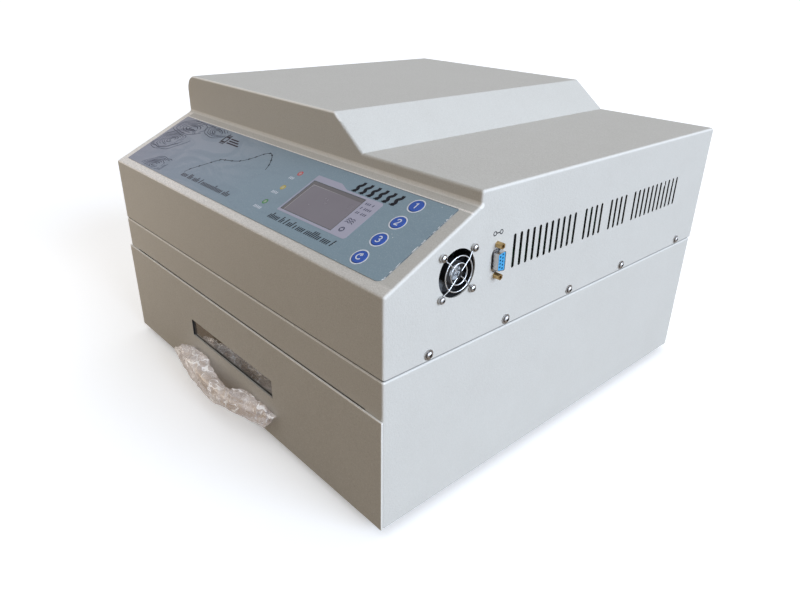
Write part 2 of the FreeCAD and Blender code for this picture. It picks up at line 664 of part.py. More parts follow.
def heaters():
    end = hood_half - hood_sheet - 8
    tubes = []
    caps = []
    for y in tube_rows():
        tube = rod(Vec(-end, y, tube_z), X, tube_radius, 2 * end)
        tubes.append(tube)
        for side in (-1, 1):
            cap = rod(Vec(side * (end + 6.5), y, tube_z), X * -side, tube_radius + 2.2, 16)
            socket = rod(Vec(side * end, y, tube_z), X * -side, tube_radius + 0.02, 20)
            caps.append(cap.cut(socket))
    PARTS["heater_tubes"] = group(tubes)
    PARTS["tube_end_caps"] = group(caps)
    brackets = []
    for side in (-1, 1):
        near_x = side * (end - 6)
        far_x = side * (end - 4.8)
        web = block(min(near_x, far_x), max(near_x, far_x), tube_rows()[0] - 20, tube_rows()[-1] + 15,
                    tube_z - 11, deck_plate_top - deck_plate - hood_sheet)
        holes = [rod(Vec(-hood_half, y, tube_z), X, tube_radius + 2.3, 2 * hood_half) for y in tube_rows()]
        brackets.append(cut_all(web, holes))
    PARTS["tube_brackets"] = group(brackets)


def motor_legs():
    return [(sx * 52, blower_y + sy * 34) for sx in (-1, 1) for sy in (-1, 1)]


def circulation_blower():
    bridge_z = deck_plate_top + 34
    table = block(-60, 60, blower_y - 43, blower_y + 43, bridge_z, bridge_z + 2)
    legs = []
    for x, y in motor_legs():
        legs.append(block(x - 1, x + 1, y - 8, y + 8, deck_plate_top, bridge_z + 1))
    hole = rod(Vec(0, blower_y, bridge_z - 5), Z, 14.0, 12)
    PARTS["motor_bracket"] = fused([table] + legs).cut(hole)
    motor_z = bridge_z + 2
    stack = rounded(block(-30, 30, blower_y - 30, blower_y + 30, motor_z + 12, motor_z + 34), 4,
                    lambda p, d: near(abs(d.z), 1))
    bells = [rod(Vec(0, blower_y, motor_z), Z, 27, 14), rod(Vec(0, blower_y, motor_z + 32), Z, 25, 14)]
    lugs = [rod(Vec(sx * 24, blower_y + sy * 24, motor_z), Z, 5, 13) for sx in (-1, 1) for sy in (-1, 1)]
    shaft_bore = rod(Vec(0, blower_y, motor_z - 2), Z, 3.05, 42)
    PARTS["circulation_motor"] = fused([stack] + bells + lugs).cut(shaft_bore)
    roof = deck_plate_top - deck_plate - hood_sheet
    wheel_top = roof - 4
    shaft = rod(Vec(0, blower_y, wheel_top - 14), Z, 3.0, motor_z + 38 - wheel_top + 14)
    disc = rod(Vec(0, blower_y, wheel_top - 1.2), Z, 62, 1.2)
    hub = rod(Vec(0, blower_y, wheel_top - 12), Z, 9, 12)
    wheel = [disc, hub, shaft]
    for n in range(8):
        paddle = block(8, 60, blower_y - 0.6, blower_y + 0.6, wheel_top - 12, wheel_top - 1)
        paddle.rotate(Vec(0, blower_y, 0), Z, 45 * n)
        wheel.append(paddle)
    PARTS["circulation_fan"] = fused(wheel)


# ---------------------------------------------------------------- power electronics
power_board_z = deck_plate_top + 30


def power_board_posts():
    return [(x, y) for x in (92, 185) for y in (-52, 148)]


def electronics():
    board = block(85, 192, -60, 156, power_board_z, power_board_z + 1.6)
    top = power_board_z + 1.6
    parts = [board, block(104, 130, -50, -26, top, top + 12), block(140, 176, -50, -30, top, top + 18)]
    for n in range(3):
        parts.append(rod(Vec(110 + n * 22, 132, top), Z, 8, 24))
    for n in range(4):
        parts.append(block(92 + n * 24, 110 + n * 24, 96, 112, top, top + 11))
    PARTS["power_board"] = fused(parts)
    fins = [block(110, 172, 50, 88, top, top + 5)]
    for n in range(9):
        fins.append(block(110 + n * 7.5, 112 + n * 7.5, 50, 88, top + 4, top + 30))
    PARTS["relay_heatsink"] = fused(fins)
    core = block(112, 167, -14, 34, top, top + 44)
    windows = [block(121, 132, -20, 40, top + 9, top + 35), block(147, 158, -20, 40, top + 9, top + 35)]
    bobbin = rounded(block(121.5, 157.5, -22, 42, top + 9.5, top + 34.5), 3, lambda p, d: near(abs(d.z), 1))
    PARTS["transformer"] = fused([cut_all(core, windows), bobbin])


# ---------------------------------------------------------------- drawer
def drawer_shell():
    window = block(front_mid_x - window_width / 2, front_mid_x + window_width / 2, plate_front_y - 1, plate_back_y + 1,
                   window_low_z, window_low_z + window_height)
    window = rounded(window, 1.0, lambda p, d: near(abs(d.y), 1))
    front = block(-side_x, side_x, plate_front_y, plate_back_y, floor_z, drawer_top_z)
    front = rounded(front, 0.5, lambda p, d: near(p.y, plate_front_y))
    bolts = [rod(Vec(x, plate_front_y - 1, handle_z), Y, 2.1, 12) for x in handle_ends()]
    PARTS["drawer_front"] = cut_all(front, [window] + bolts)

    outer = block(-tray_half, tray_half, plate_back_y, tray_back_y, tray_low_z, tray_high_z)
    inner = block(-tray_half + tray_sheet, tray_half - tray_sheet, plate_back_y + tray_sheet,
                  tray_back_y - tray_sheet, tray_low_z + tray_sheet, tray_high_z + 1)
    glass_hole = block(front_mid_x - 90, front_mid_x + 90, plate_back_y - 1, plate_back_y + 3,
                       window_low_z - 9, window_low_z + window_height + 6)
    PARTS["drawer_tray"] = cut_all(outer, [inner, glass_hole] + bolts)
    wool = block(-tray_half + tray_sheet, tray_half - tray_sheet, plate_back_y + 8, tray_back_y - tray_sheet,
                 tray_low_z + tray_sheet, tray_low_z + 19)
    PARTS["tray_insulation"] = wool


def handle_ends():
    return [front_mid_x - 60, front_mid_x + 60]


def glazing():
    low, high = window_low_z, window_low_z + window_height
    x0, x1 = front_mid_x - window_width / 2, front_mid_x + window_width / 2
    seal_back = plate_back_y + 0.5
    glass_back = seal_back + 4.0
    seal = block(x0 - 5, x1 + 5, plate_back_y, seal_back, low - 5, high + 5)
    PARTS["window_seal"] = seal.cut(block(x0 + 0.6, x1 - 0.6, plate_back_y - 1, seal_back + 1, low + 0.6, high - 0.6))
    PARTS["window_glass"] = block(x0 - 5, x1 + 5, seal_back, glass_back, low - 5, high + 5)
    wall_back = plate_back_y + tray_sheet
    holder = block(x0 - 19, x1 + 19, wall_back, glass_back + 1.2, low - 13, high + 6.5)
    pocket = block(x0 - 5.2, x1 + 5.2, wall_back - 1, glass_back, low - 5.2, high + 5.2)
    view = block(x0 + 1, x1 - 1, wall_back, glass_back + 3, low + 1, high - 1)
    PARTS["window_retainer"] = cut_all(holder, [pocket, view])


def crescent(grow, flare, low_y, tall):
    """A bow in plan standing off the plate from low_y: its arcs grown by grow, its feet wider by flare."""
    peak = low_y - handle_reach - grow
    inner_peak = low_y - handle_reach + handle_deep + grow
    half = handle_half + grow + flare
    inner_half = handle_half - 14 - grow
    z = handle_z - tall / 2
    a = Vec(front_mid_x - half, low_y, z)
    b = Vec(front_mid_x + half, low_y, z)
    c = Vec(front_mid_x + inner_half, low_y, z)
    d = Vec(front_mid_x - inner_half, low_y, z)
    edges = [Part.makeLine(d, a), bow_arc(a, b, half, low_y, peak, z),
             Part.makeLine(b, c), bow_arc(c, d, inner_half, low_y, inner_peak, z)]
    return Part.Face(Part.Wire(edges)).extrude(Z * tall)


def bow_arc(start, end, half, low_y, peak, z):
    """A smooth bow from start to end, flatter than a circle, with its peak in the middle."""
    sign = 1 if end.x > start.x else -1
    shoulder = half * 0.74 * sign
    rise = (peak - low_y) * 0.72
    points = [start, Vec(front_mid_x - shoulder, low_y + rise, z), Vec(front_mid_x, peak, z),
              Vec(front_mid_x + shoulder, low_y + rise, z), end]
    curve = Part.BSplineCurve()
    curve.interpolate(points)
    return curve.toShape()


def handle():
    grip = crescent(0.0, 0.0, plate_front_y, handle_tall)
    rim = [handle_z - handle_tall / 2, handle_z + handle_tall / 2]
    grip = rounded(grip, 2.6, lambda p, d: p.y < plate_front_y - 2 and near(d.z, 0)
                   and (near(p.z, rim[0]) or near(p.z, rim[1])))
    threads = [rod(Vec(x, plate_front_y - 8, handle_z), Y, 2.05, 10) for x in handle_ends()]
    PARTS["drawer_handle"] = cut_all(grip, threads)
    skin_y = plate_front_y - 1.0
    skin = crescent(3.6, film_flare, skin_y, handle_tall + 11)
    core = crescent(2.0, film_flare, skin_y + 1.0, handle_tall + 7)
    PARTS["handle_film"] = skin.cut(core)
    screw = pan_screw(3.8, 2.4, 1.95, 9.0)
    screws = []
    for x in handle_ends():
        screws.append(placed(screw, Vec(x, plate_back_y + tray_sheet, handle_z), X, -90))
    PARTS["handle_screws"] = group(screws)


def work_grid():
    liner_half = 172.0
    front = plate_back_y + 14
    back = tray_back_y - 7
    low = tray_low_z + 19
    rim = grid_bar_z - 2.0
    pan = block(-liner_half, liner_half, front, back, low, rim)
    hollow = block(-liner_half + 0.8, liner_half - 0.8, front + 0.8, back - 0.8, low + 0.8, rim + 1)
    PARTS["tray_liner"] = pan.cut(hollow)
    wires = []
    for n in range(7):
        y = front + 15 + n * (back - front - 30) / 6
        wires.append(rod(Vec(-liner_half - 5, y, grid_bar_z), X, 2.0, 2 * liner_half + 10))
    for n in range(17):
        x = -160 + n * 20
        wires.append(rod(Vec(x, front + 6, grid_bar_z + 2.95), Y, 1.25, back - front - 12))
    PARTS["work_grid"] = fused(wires)


# ---------------------------------------------------------------- telescopic drawer slides
def channel(web_x, open_x, web, half_height, y0):
    """A C channel in the YZ plane: its web at web_x, its flanges reaching to open_x."""
    step = 1 if open_x > web_x else -1
    back = block(min(web_x, web_x + step * web), max(web_x, web_x + step * web), y0, y0 + slide_length,
                 slide_z - half_height, slide_z + half_height)
    flanges = []
    for side in (-1, 1):
        z0 = slide_z + side * half_height
        z1 = slide_z + side * (half_height - web)
        flanges.append(block(min(web_x, open_x), max(web_x, open_x), y0, y0 + slide_length, min(z0, z1), max(z0, z1)))
    return fused([back] + flanges)


def slides():
    y0 = front_y + 5
    outer, middle, inner, brackets = [], [], [], []
    for side in (-1, 1):
        outer.append(channel(side * 204.0, side * 191.5, 1.4, 17.5, y0))
        middle.append(channel(side * 201.8, side * 190.5, 1.4, 15.0, y0))
        inner.append(channel(side * tray_half, side * 197.0, 1.4, 12.4, y0))
        brackets.append(channel(side * 204.0, side * (side_x - sheet), 1.2, 14.0, y0))
    PARTS["slide_outer_members"] = group(outer)
    PARTS["slide_middle_members"] = group(middle)
    PARTS["slide_inner_members"] = group(inner)
    PARTS["slide_brackets"] = group(brackets)


def build():
    base_case()
    feet()
    top_cover()
    cover_screws()
    control_panel()
    control_board()
    cooling_fan()
    com_port()
    exhaust_fan()
    mains_inlet()
    power_switch()
    chamber()
    heaters()
    circulation_blower()
    electronics()
    drawer_shell()
    glazing()
    handle()
    work_grid()
    slides()


def export():
    os.makedirs("parts", exist_ok=True)
    for name, shape in sorted(PARTS.items()):
        if not shape.isValid() or not shape.Solids:
            print("check", name, "valid", shape.isValid(), "solids", len(shape.Solids))
        shape.exportStep("parts/" + name + ".step")
    print(len(PARTS), "nodes")


build()
export()
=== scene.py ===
"""Looks of a bench-top drawer reflow oven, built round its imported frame.

Lengths are in metres. +Z is up, -Y is the front with the drawer, +X is the side with the cooling fan.
"""

import json
import math
import random

import bpy
import bmesh
from mathutils import Matrix, Vector, noise
from mathutils.bvhtree import BVHTree
from mathutils.geometry import tessellate_polygon


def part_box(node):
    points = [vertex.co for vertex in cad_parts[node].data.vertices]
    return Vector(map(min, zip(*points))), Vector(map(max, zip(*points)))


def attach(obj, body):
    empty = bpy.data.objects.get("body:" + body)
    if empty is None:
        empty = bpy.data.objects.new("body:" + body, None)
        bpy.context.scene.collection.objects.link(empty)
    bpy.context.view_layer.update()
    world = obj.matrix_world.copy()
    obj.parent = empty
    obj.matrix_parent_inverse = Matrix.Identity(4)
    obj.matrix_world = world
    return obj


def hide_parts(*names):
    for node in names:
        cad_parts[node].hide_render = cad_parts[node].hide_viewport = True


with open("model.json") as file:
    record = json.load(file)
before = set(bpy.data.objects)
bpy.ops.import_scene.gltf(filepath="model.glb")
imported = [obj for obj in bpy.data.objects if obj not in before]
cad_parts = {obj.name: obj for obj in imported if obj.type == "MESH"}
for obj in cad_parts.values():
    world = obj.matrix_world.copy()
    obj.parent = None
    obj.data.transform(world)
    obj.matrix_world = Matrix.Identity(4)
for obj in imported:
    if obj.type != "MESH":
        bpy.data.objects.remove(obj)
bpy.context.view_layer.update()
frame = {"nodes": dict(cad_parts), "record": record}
nodes = frame["nodes"]

MM = 0.001


# ---------------------------------------------------------------- surfaces: sums on sockets
class Level:
    """A number that changes over a surface. Sums on it add Math nodes to its material."""

    def __init__(self, finish, socket):
        self.finish = finish
        self.socket = socket

    def _math(self, operation, *others):
        sockets = {0: self, **dict(enumerate(others, 1))}
        return self.finish.node("ShaderNodeMath", {"operation": operation}, sockets)

    def _from(self, operation, other):
        return self.finish.node("ShaderNodeMath", {"operation": operation}, {0: other, 1: self})

    def __add__(self, other):
        return self._math("ADD", other)

    def __radd__(self, other):
        return self._from("ADD", other)

    def __sub__(self, other):
        return self._math("SUBTRACT", other)

    def __rsub__(self, other):
        return self._from("SUBTRACT", other)

    def __mul__(self, other):
        return self._math("MULTIPLY", other)

    def __truediv__(self, other):
        return self._math("DIVIDE", other)

    def __abs__(self):
        return self._math("ABSOLUTE")

    def over(self, edge, soft=0.0):
        """1 where the value is above edge and 0 below it, with a step that is soft wide."""
        if soft == 0.0:
            return self._math("GREATER_THAN", edge)
        return self.finish.node("ShaderNodeMapRange", {"interpolation_type": "SMOOTHSTEP"},
                                {"Value": self, "From Min": edge - soft, "From Max": edge + soft})

    def under(self, edge, soft=0.0):
        return 1 - self.over(edge, soft)

    def between(self, low, high, soft=0.0):
        return self.over(low, soft) * self.under(high, soft)

    def least(self, other):
        return self._math("MINIMUM", other)

    def most(self, other):
        return self._math("MAXIMUM", other)

    def root(self):
        return self._math("SQRT")

    def part(self):
        """What is left after the whole number."""
        return self._math("FRACT")

    def clear(self):
        """The value held between 0 and 1."""
        return self.finish.node("ShaderNodeClamp", {}, {"Value": self})


class Finish:
    """One procedural material, made node by node."""

    def __init__(self, name, **fixed):
        self.material = bpy.data.materials.new(name)
        self.material.use_nodes = True
        self.tree = self.material.node_tree
        self.shader = self.tree.nodes["Principled BSDF"]
        self._point = None
        self._place = None
        for socket, value in fixed.items():
            self.shader.inputs[socket.replace("_", " ")].default_value = value

    def node(self, kind, settings, sockets, out=0):
        """Adds a node: its settings first, then the values or links of its sockets. Gives one output."""
        made = self.tree.nodes.new(kind)
        for key, value in settings.items():
            setattr(made, key, value)
        for key, value in sockets.items():
            self.feed(made.inputs[key], value)
        return Level(self, made.outputs[out])

    def feed(self, socket, value):
        if isinstance(value, Level):
            self.tree.links.new(value.socket, socket)
        else:
            socket.default_value = value

    def set(self, **sockets):
        """Sets or links sockets of the main shader, with _ for a space in their names."""
        for name, value in sockets.items():
            self.feed(self.shader.inputs[name.replace("_", " ")], value)

    def place(self):
        """The point on the surface, in metres, as three numbers."""
        if self._place is None:
            self._point = self.node("ShaderNodeTexCoord", {}, {}, "Object")
            self._place = [self.node("ShaderNodeSeparateXYZ", {}, {0: self._point}, n) for n in range(3)]
        return self._place

    def point(self):
        self.place()
        return self._point

    def stretched(self, x, y, z):
        """The point on the surface with its three numbers multiplied."""
        return self.node("ShaderNodeVectorMath", {"operation": "MULTIPLY"}, {0: self.point(), 1: (x, y, z)})

    def grain(self, size, detail=2.0, rough=0.5, twist=0.0, at=None):
        """Cloudy noise from 0 to 1 with features of about this size in metres."""
        sockets = {"Vector": at or self.point(), "Scale": 1 / size, "Detail": detail,
                   "Roughness": rough, "Distortion": twist}
        return self.node("ShaderNodeTexNoise", {}, sockets)

    def cells(self, size, feature="F1"):
        """Cell noise: the distance to the nearest point, or to a cell's edge."""
        sockets = {"Vector": self.point(), "Scale": 1 / size}
        return self.node("ShaderNodeTexVoronoi", {"feature": feature}, sockets)

    def ramp(self, level, stops):
        """A colour that follows a level, from stops of (level, (r, g, b))."""
        made = self.tree.nodes.new("ShaderNodeValToRGB")
        elements = made.color_ramp.elements
        while len(elements) < len(stops):
            elements.new(0.5)
        for element, (where, colour) in zip(elements, stops):
            element.position = where
            element.color = (*colour, 1)
        self.feed(made.inputs[0], level)
        return Level(self, made.outputs[0])

    def mix(self, share, first, second):
        """The first colour, going to the second as share goes from 0 to 1."""
        first = (*first, 1) if isinstance(first, tuple) else first
        second = (*second, 1) if isinstance(second, tuple) else second
        return self.node("ShaderNodeMix", {"data_type": "RGBA"}, {0: share, 6: first, 7: second}, 2)

    def bump(self, height, distance, strength, under=None):
        """A normal from a height from 0 to 1 that stands for this distance in metres."""
        sockets = {"Height": height, "Distance": distance, "Strength": strength}
        if under is not None:
            sockets["Normal"] = under
        return self.node("ShaderNodeBump", {}, sockets)

    def facing(self):
        """The direction that the surface faces, as three numbers."""
        normal = self.node("ShaderNodeNewGeometry", {}, {}, "Normal")
        return [self.node("ShaderNodeSeparateXYZ", {}, {0: normal}, n) for n in range(3)]

    def crevice(self, reach):
        """1 in the open, falling to 0 in corners and slots narrower than this reach in metres."""
        settings = {"samples": 6, "only_local": True}
        return self.node("ShaderNodeAmbientOcclusion", settings, {"Distance": reach}, "AO")


# ---------------------------------------------------------------- the case's measures
cover_low, cover_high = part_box("top_cover")
front_y = cover_low[1]
FOOT = 0.008
FOLD_Z = FOOT + 0.2015
SLOPE_RUN = 0.091
SLOPE_RISE = 0.044
SEAM_Z = FOOT + 0.137
DRAWER_TOP_Z = FOOT + 0.103
RISER_Y = front_y + SLOPE_RUN
RISER_FOOT_Z = FOLD_Z + SLOPE_RISE
HUMP_Z = FOOT + 0.285
SIDE_X = 0.225
REAR_Y = cover_high[1]

# on the sloped panel, in millimetres across and up
OVERLAY_LEFT = -212
OVERLAY_RIGHT = 211.5
OVERLAY_UPPER = 90.6
PANE_SIDES = (61.5, 131.0)
PANE_ENDS = (30.5, 69.5)
KEY_ACROSS = 177.4
KEY_UPS = (20.4, 40.4, 60.4, 80.4)
LED_PLACES = {"led_red": (38.4, 71.0), "led_amber": (38.4, 50.6), "led_green": (38.4, 30.2)}

# printed marks, in metres off the face that carries them
INK_LOW = 0.00002
INK_HIGH = 0.00007


# ---------------------------------------------------------------- the sloped panel's own axes
fold = Vector((0, front_y, FOLD_Z))
slope_angle = math.atan2(SLOPE_RISE, SLOPE_RUN)
up_slope = Vector((0, math.cos(slope_angle), math.sin(slope_angle)))
off_slope = Vector((0, -math.sin(slope_angle), math.cos(slope_angle)))
OVERLAY_TOP = 0.0005


def on_slope(x, up, off=OVERLAY_TOP):
    """The point at x and a distance up the slope, both in millimetres, and off its sheet metal in metres."""
    return fold + Vector((x * MM, 0, 0)) + up_slope * (up * MM) + off_slope * off


class SlopeFinish(Finish):
    """A finish that knows its place on the sloped panel: across and up, in millimetres."""

    def across_and_up(self):
        x, y, z = self.place()
        up = (y - fold.y) * up_slope.y + (z - fold.z) * up_slope.z
        return x * 1000, up * 1000


# ---------------------------------------------------------------- the finishes
def powder_coat():
    """Warm light grey textured paint, with painted highlights along its edges, a painted sheen along the
    slope's borders, and painted shade inside the case, in its seam groove and vent slots.
    """
    paint = SlopeFinish("grey_powder_coat", Metallic=0.0, Specular_IOR_Level=0.42)
    x, y, z = paint.place()
    up = paint.across_and_up()[1]
    face_x, face_y, face_z = paint.facing()
    side = abs(x)
    mottle = paint.grain(0.035, 4.0, 0.6)
    speck = paint.grain(0.0011, 2.0, 0.6)
    coarse = paint.grain(0.0024, 3.0, 0.65)
    calm = 1 - abs(face_x) * 0.6
    tone = paint.mix(mottle, (0.508, 0.484, 0.442), (0.548, 0.527, 0.484))
    tone = paint.mix(speck.over(0.60, 0.06) * 0.34 * calm, tone, (0.68, 0.665, 0.63))
    tone = paint.mix(speck.under(0.38, 0.05) * 0.30 * calm, tone, (0.34, 0.325, 0.30))

    # Painted sheen: the slope's front lip, its upper edge and its left margin are painted paler with a bright
    # grain, more so towards the left, standing in for light glancing off them.
    leftward = ((0.16 - x) / 0.36).clear()
    off = (y - fold.y) * off_slope.y + (z - fold.z) * off_slope.z
    on_panel = off.between(-0.0007, 0.0007, 0.0002) * up.between(-1.0, 99.0, 0.5)
    lip = on_panel * up.under(9.0, 1.6)
    upper_lip = on_panel * up.between(91.0, 92.6, 0.3)
    lip = (lip * (0.24 + leftward * 0.85) + on_panel * leftward * 0.16 + upper_lip * 0.8).clear()
    left_margin = on_panel * x.under(-0.2128, 0.0003)
    lip = (lip + left_margin * 0.8).clear()
    grains = (0.52 + coarse.over(0.50, 0.10) * 0.12 + speck.over(0.52, 0.05) * 0.55).clear()
    tone = paint.mix((lip * grains).clear(), tone, (0.98, 0.92, 0.86))

    # Painted highlights: pale lines on the rounded side corners, the hump's brow, the riser's foot, the
    # base's rim under the seam and the drawer plate's top and side edges, where light catches the bends.
    corner = face_x * face_x * (1 - face_x * face_x) * 4 * side.over(SIDE_X - 0.0032, 0.0004)
    brow = face_y * face_y * face_z * face_z * 4 * z.over(HUMP_Z - 0.007, 0.001) * y.under(RISER_Y + 0.02)
    foot_gap = ((y - RISER_Y) * (y - RISER_Y) + (z - RISER_FOOT_Z) * (z - RISER_FOOT_Z)).root()
    foot_line = foot_gap.under(0.0022, 0.0006)
    on_front = face_y.under(-0.25, 0.1)
    base_rim = z.between(SEAM_Z - 0.0022, SEAM_Z - 0.0008, 0.0003) * on_front
    plate_rim = y.under(front_y - 0.0002, 0.0001) * (z.over(DRAWER_TOP_Z - 0.0009, 0.0002)
                                                     + side.over(SIDE_X - 0.0008, 0.0002) * 0.4).clear()
    rims = base_rim * (0.75 + leftward * 0.45) + plate_rim * 0.85
    painted_edge_highlight = corner * 0.42 + brow * 1.35 + foot_line * 0.55 + rims
    tone = paint.mix((painted_edge_highlight * (0.62 + speck * 0.5)).clear(), tone, (0.90, 0.87, 0.82))

    # Painted shade: the case's inside, the seam groove, the vent slots and the side cuts of the window
    # opening are painted near black, standing in for the shade that falls in them.
    within = side.under(SIDE_X - 0.0004, 0.0001) * y.between(front_y + 0.0004, REAR_Y - 0.0004, 0.0001)
    inward = (x * face_x).under(-0.1) + face_z.under(-0.5) * z.over(FOOT + 0.004)
    inward = inward + face_y.over(0.5) * y.under(0.0) + face_y.under(-0.5) * y.over(0.1)
    inward = inward.clear() * within
    groove = z.between(SEAM_Z - 0.0008, SEAM_Z + 0.0009, 0.0002) * (0.62 + on_front * 0.38)
    slots = z.between(FOOT + 0.185, FOOT + 0.235) * side.between(SIDE_X - 0.0030, SIDE_X - 0.0002)
    slots = slots * y.over(-0.09) * y.under(REAR_Y - 0.004)
    window_cut = y.under(front_y - 0.0001) * z.between(FOOT + 0.044, FOOT + 0.065)
    window_cut = window_cut * side.under(0.082) * abs(face_x).over(0.7)
    dark = (inward + groove + slots + window_cut).clear()
    tone = paint.mix(dark, tone, (0.016, 0.017, 0.021))

    peel = paint.bump(speck, 0.00026, 0.6)
    pebble = paint.bump(paint.cells(0.0016, "SMOOTH_F1"), 0.00020, 0.4, under=peel)
    paint.set(Base_Color=tone, Roughness=0.50 + mottle * 0.10 + speck * 0.06, Normal=pebble)
    return paint.material


def bright_steel(name, tone, roughness, brushed=(1, 1, 1), fingerprints=0.35, crevices=0.0):
    """Bare or plated sheet steel with fine drawn lines and a few dull smudges, and painted shade in its
    crevices where asked.
    """
    steel = Finish(name, Metallic=1.0)
    lines = steel.grain(0.0008, 3.0, 0.6, at=steel.stretched(*brushed))
    smudge = steel.grain(0.018, 3.0, 0.6)
    dark = tuple(0.82 * c for c in tone)
    colour = steel.mix(lines, dark, tone)
    colour = steel.mix(smudge.over(0.58, 0.12) * fingerprints, colour, tuple(0.72 * c for c in tone))
    # Painted shade: where crevices is given, corners found by ambient occlusion are painted dark.
    if crevices:
        colour = steel.mix(steel.crevice(crevices).under(0.62, 0.22), colour, (0.06, 0.055, 0.05))
    steel.set(Base_Color=colour, Roughness=roughness + lines * 0.10 + smudge.over(0.58, 0.12) * 0.14,
              Normal=steel.bump(lines, 0.00002, 0.5))
    return steel.material


def galvanised():
    """Zinc-plated sheet with pale spangles."""
    zinc = Finish("galvanised_sheet", Metallic=1.0)
    sockets = {"Vector": zinc.point(), "Scale": 160.0}
    spangle = zinc.node("ShaderNodeTexVoronoi", {"feature": "F1"}, sockets, "Color")
    spread = zinc.node("ShaderNodeSeparateColor", {}, {0: spangle}, 0)
    dull = zinc.grain(0.03, 3.0)
    colour = zinc.mix(spread, (0.52, 0.54, 0.56), (0.68, 0.69, 0.70))
    zinc.set(Base_Color=colour, Roughness=0.28 + spread * 0.16 + dull * 0.10,
             Normal=zinc.bump(spread, 0.00001, 0.4))
    return zinc.material


def plastic(name, tone, roughness, texture=0.0008, depth=0.00005, coat=0.0, crevices=0.0):
    """Moulded plastic or rubber with a fine spark texture and slight dust, and painted shade in its crevices
    where asked.
    """
    mould = Finish(name, Metallic=0.0, Coat_Weight=coat)
    fine = mould.grain(texture, 2.0, 0.6)
    dust = mould.grain(0.009, 4.0, 0.6)
    light = tuple(min(1.0, c * 1.25 + 0.015) for c in tone)
    colour = mould.mix(fine * 0.5 + dust * 0.3, tone, light)
    # Painted shade: where crevices is given, holes and corners found by ambient occlusion are painted dark.
    if crevices:
        colour = mould.mix(mould.crevice(crevices).under(0.60, 0.12), colour, tuple(0.12 * c for c in tone))
    mould.set(Base_Color=colour, Roughness=roughness + dust * 0.14 - 0.07,
              Normal=mould.bump(fine, depth, 0.5))
    return mould.material


def hub_foil():
    """Dark silver foil with pale radial streaks."""
    foil = Finish("hub_foil", Metallic=0.8)
    streak = foil.grain(0.0030, 2.0, 0.6, 1.5)
    colour = foil.mix(streak.over(0.50, 0.06), (0.10, 0.11, 0.13), (0.72, 0.77, 0.82))
    foil.set(Base_Color=colour, Roughness=0.32 + streak * 0.2, Normal=foil.bump(streak, 0.0003, 0.6))
    return foil.material


def circuit_board():
    """Green board lacquer with pale tracks and tinned pads."""
    board = Finish("circuit_board", Metallic=0.0, Coat_Weight=0.3)
    track = board.cells(0.006, "DISTANCE_TO_EDGE").under(0.12, 0.03)
    pad = board.cells(0.0045).under(0.16, 0.03)
    colour = board.mix(board.grain(0.02), (0.012, 0.13, 0.05), (0.02, 0.18, 0.07))
    colour = board.mix(track * 0.6, colour, (0.03, 0.24, 0.09))
    colour = board.mix(pad, colour, (0.75, 0.76, 0.74))
    board.set(Base_Color=colour, Roughness=0.42 - pad * 0.12, Metallic=pad * 0.9,
              Normal=board.bump(track, 0.00004, 0.6))
    return board.material


def fibre_wool():
    """Off-white fibre blanket: tangled strands and soft hollows."""
    wool = Finish("fibre_wool", Metallic=0.0)
    strands = wool.grain(0.0012, 4.0, 0.7, 1.5)
    clumps = wool.grain(0.012, 3.0, 0.6)
    stops = [(0.25, (0.55, 0.52, 0.46)), (0.7, (0.84, 0.82, 0.77))]
    wool.set(Base_Color=wool.ramp(strands * 0.6 + clumps * 0.4, stops), Roughness=0.90 + strands * 0.08,
             Normal=wool.bump(strands * 0.5 + clumps, 0.0016, 0.9))
    return wool.material


def quartz_tube():
    """Frosted heater tube, clear over the coil inside and milky at its ends."""
    tube = Finish("quartz_tube", Metallic=0.0, Coat_Weight=0.5)
    x = tube.place()[0]
    coil = (x / 0.0021).part().between(0.35, 0.65, 0.1)
    ends = abs(x).over(0.150, 0.008)
    colour = tube.mix(coil * (1 - ends), (0.80, 0.76, 0.68), (0.42, 0.30, 0.22))
    colour = tube.mix(ends, colour, (0.90, 0.89, 0.86))
    tube.set(Base_Color=colour, Roughness=0.30 + ends * 0.25 + tube.grain(0.004) * 0.1)
    return tube.material


def plain_ceramic():
    """Off-white unglazed ceramic with a fine grit."""
    stone = Finish("white_ceramic", Metallic=0.0)
    grit = stone.grain(0.0009, 3.0, 0.6)
    stone.set(Base_Color=stone.mix(grit, (0.74, 0.70, 0.62), (0.86, 0.83, 0.77)), Roughness=0.55 + grit * 0.2,
              Normal=stone.bump(grit, 0.00008, 0.6))
    return stone.material


def laminated_iron():
    """Stacked laminations under dark varnish."""
    core = Finish("laminated_iron", Metallic=0.6)
    z = core.place()[2]
    leaves = (z / 0.0006).part().between(0.2, 0.8, 0.1)
    stain = core.grain(0.008, 4.0)
    colour = core.mix(leaves, (0.05, 0.045, 0.04), (0.16, 0.15, 0.14))
    core.set(Base_Color=core.mix(stain.over(0.6, 0.1) * 0.4, colour, (0.22, 0.12, 0.05)),
             Roughness=0.42 + stain * 0.2, Normal=core.bump(leaves, 0.00010, 0.6))
    return core.material


def brass(name, tone):
    """Turned brass with patches of brown tarnish."""
    turned = Finish(name, Metallic=1.0)
    rings = turned.grain(0.0005, 2.0, 0.5)
    tarnish = turned.grain(0.003, 4.0, 0.6)
    colour = turned.mix(tarnish.over(0.5, 0.15) * 0.6, tone, (0.34, 0.23, 0.10))
    turned.set(Base_Color=colour, Roughness=0.26 + tarnish * 0.22, Normal=turned.bump(rings, 0.00002, 0.5))
    return turned.material


def anodised():
    """Champagne anodised bow handle, satin, a little worn."""
    skin = Finish("anodised_handle", Metallic=1.0)
    lines = skin.grain(0.0010, 3.0, 0.6, at=skin.stretched(0.12, 1, 1))
    rub = skin.grain(0.010, 4.0)
    colour = skin.mix(lines, (0.62, 0.51, 0.38), (0.78, 0.67, 0.53))
    skin.set(Base_Color=skin.mix(rub.over(0.6, 0.1) * 0.4, colour, (0.76, 0.68, 0.56)),
             Roughness=0.30 + lines * 0.12, Normal=skin.bump(lines, 0.00002, 0.5))
    return skin.material


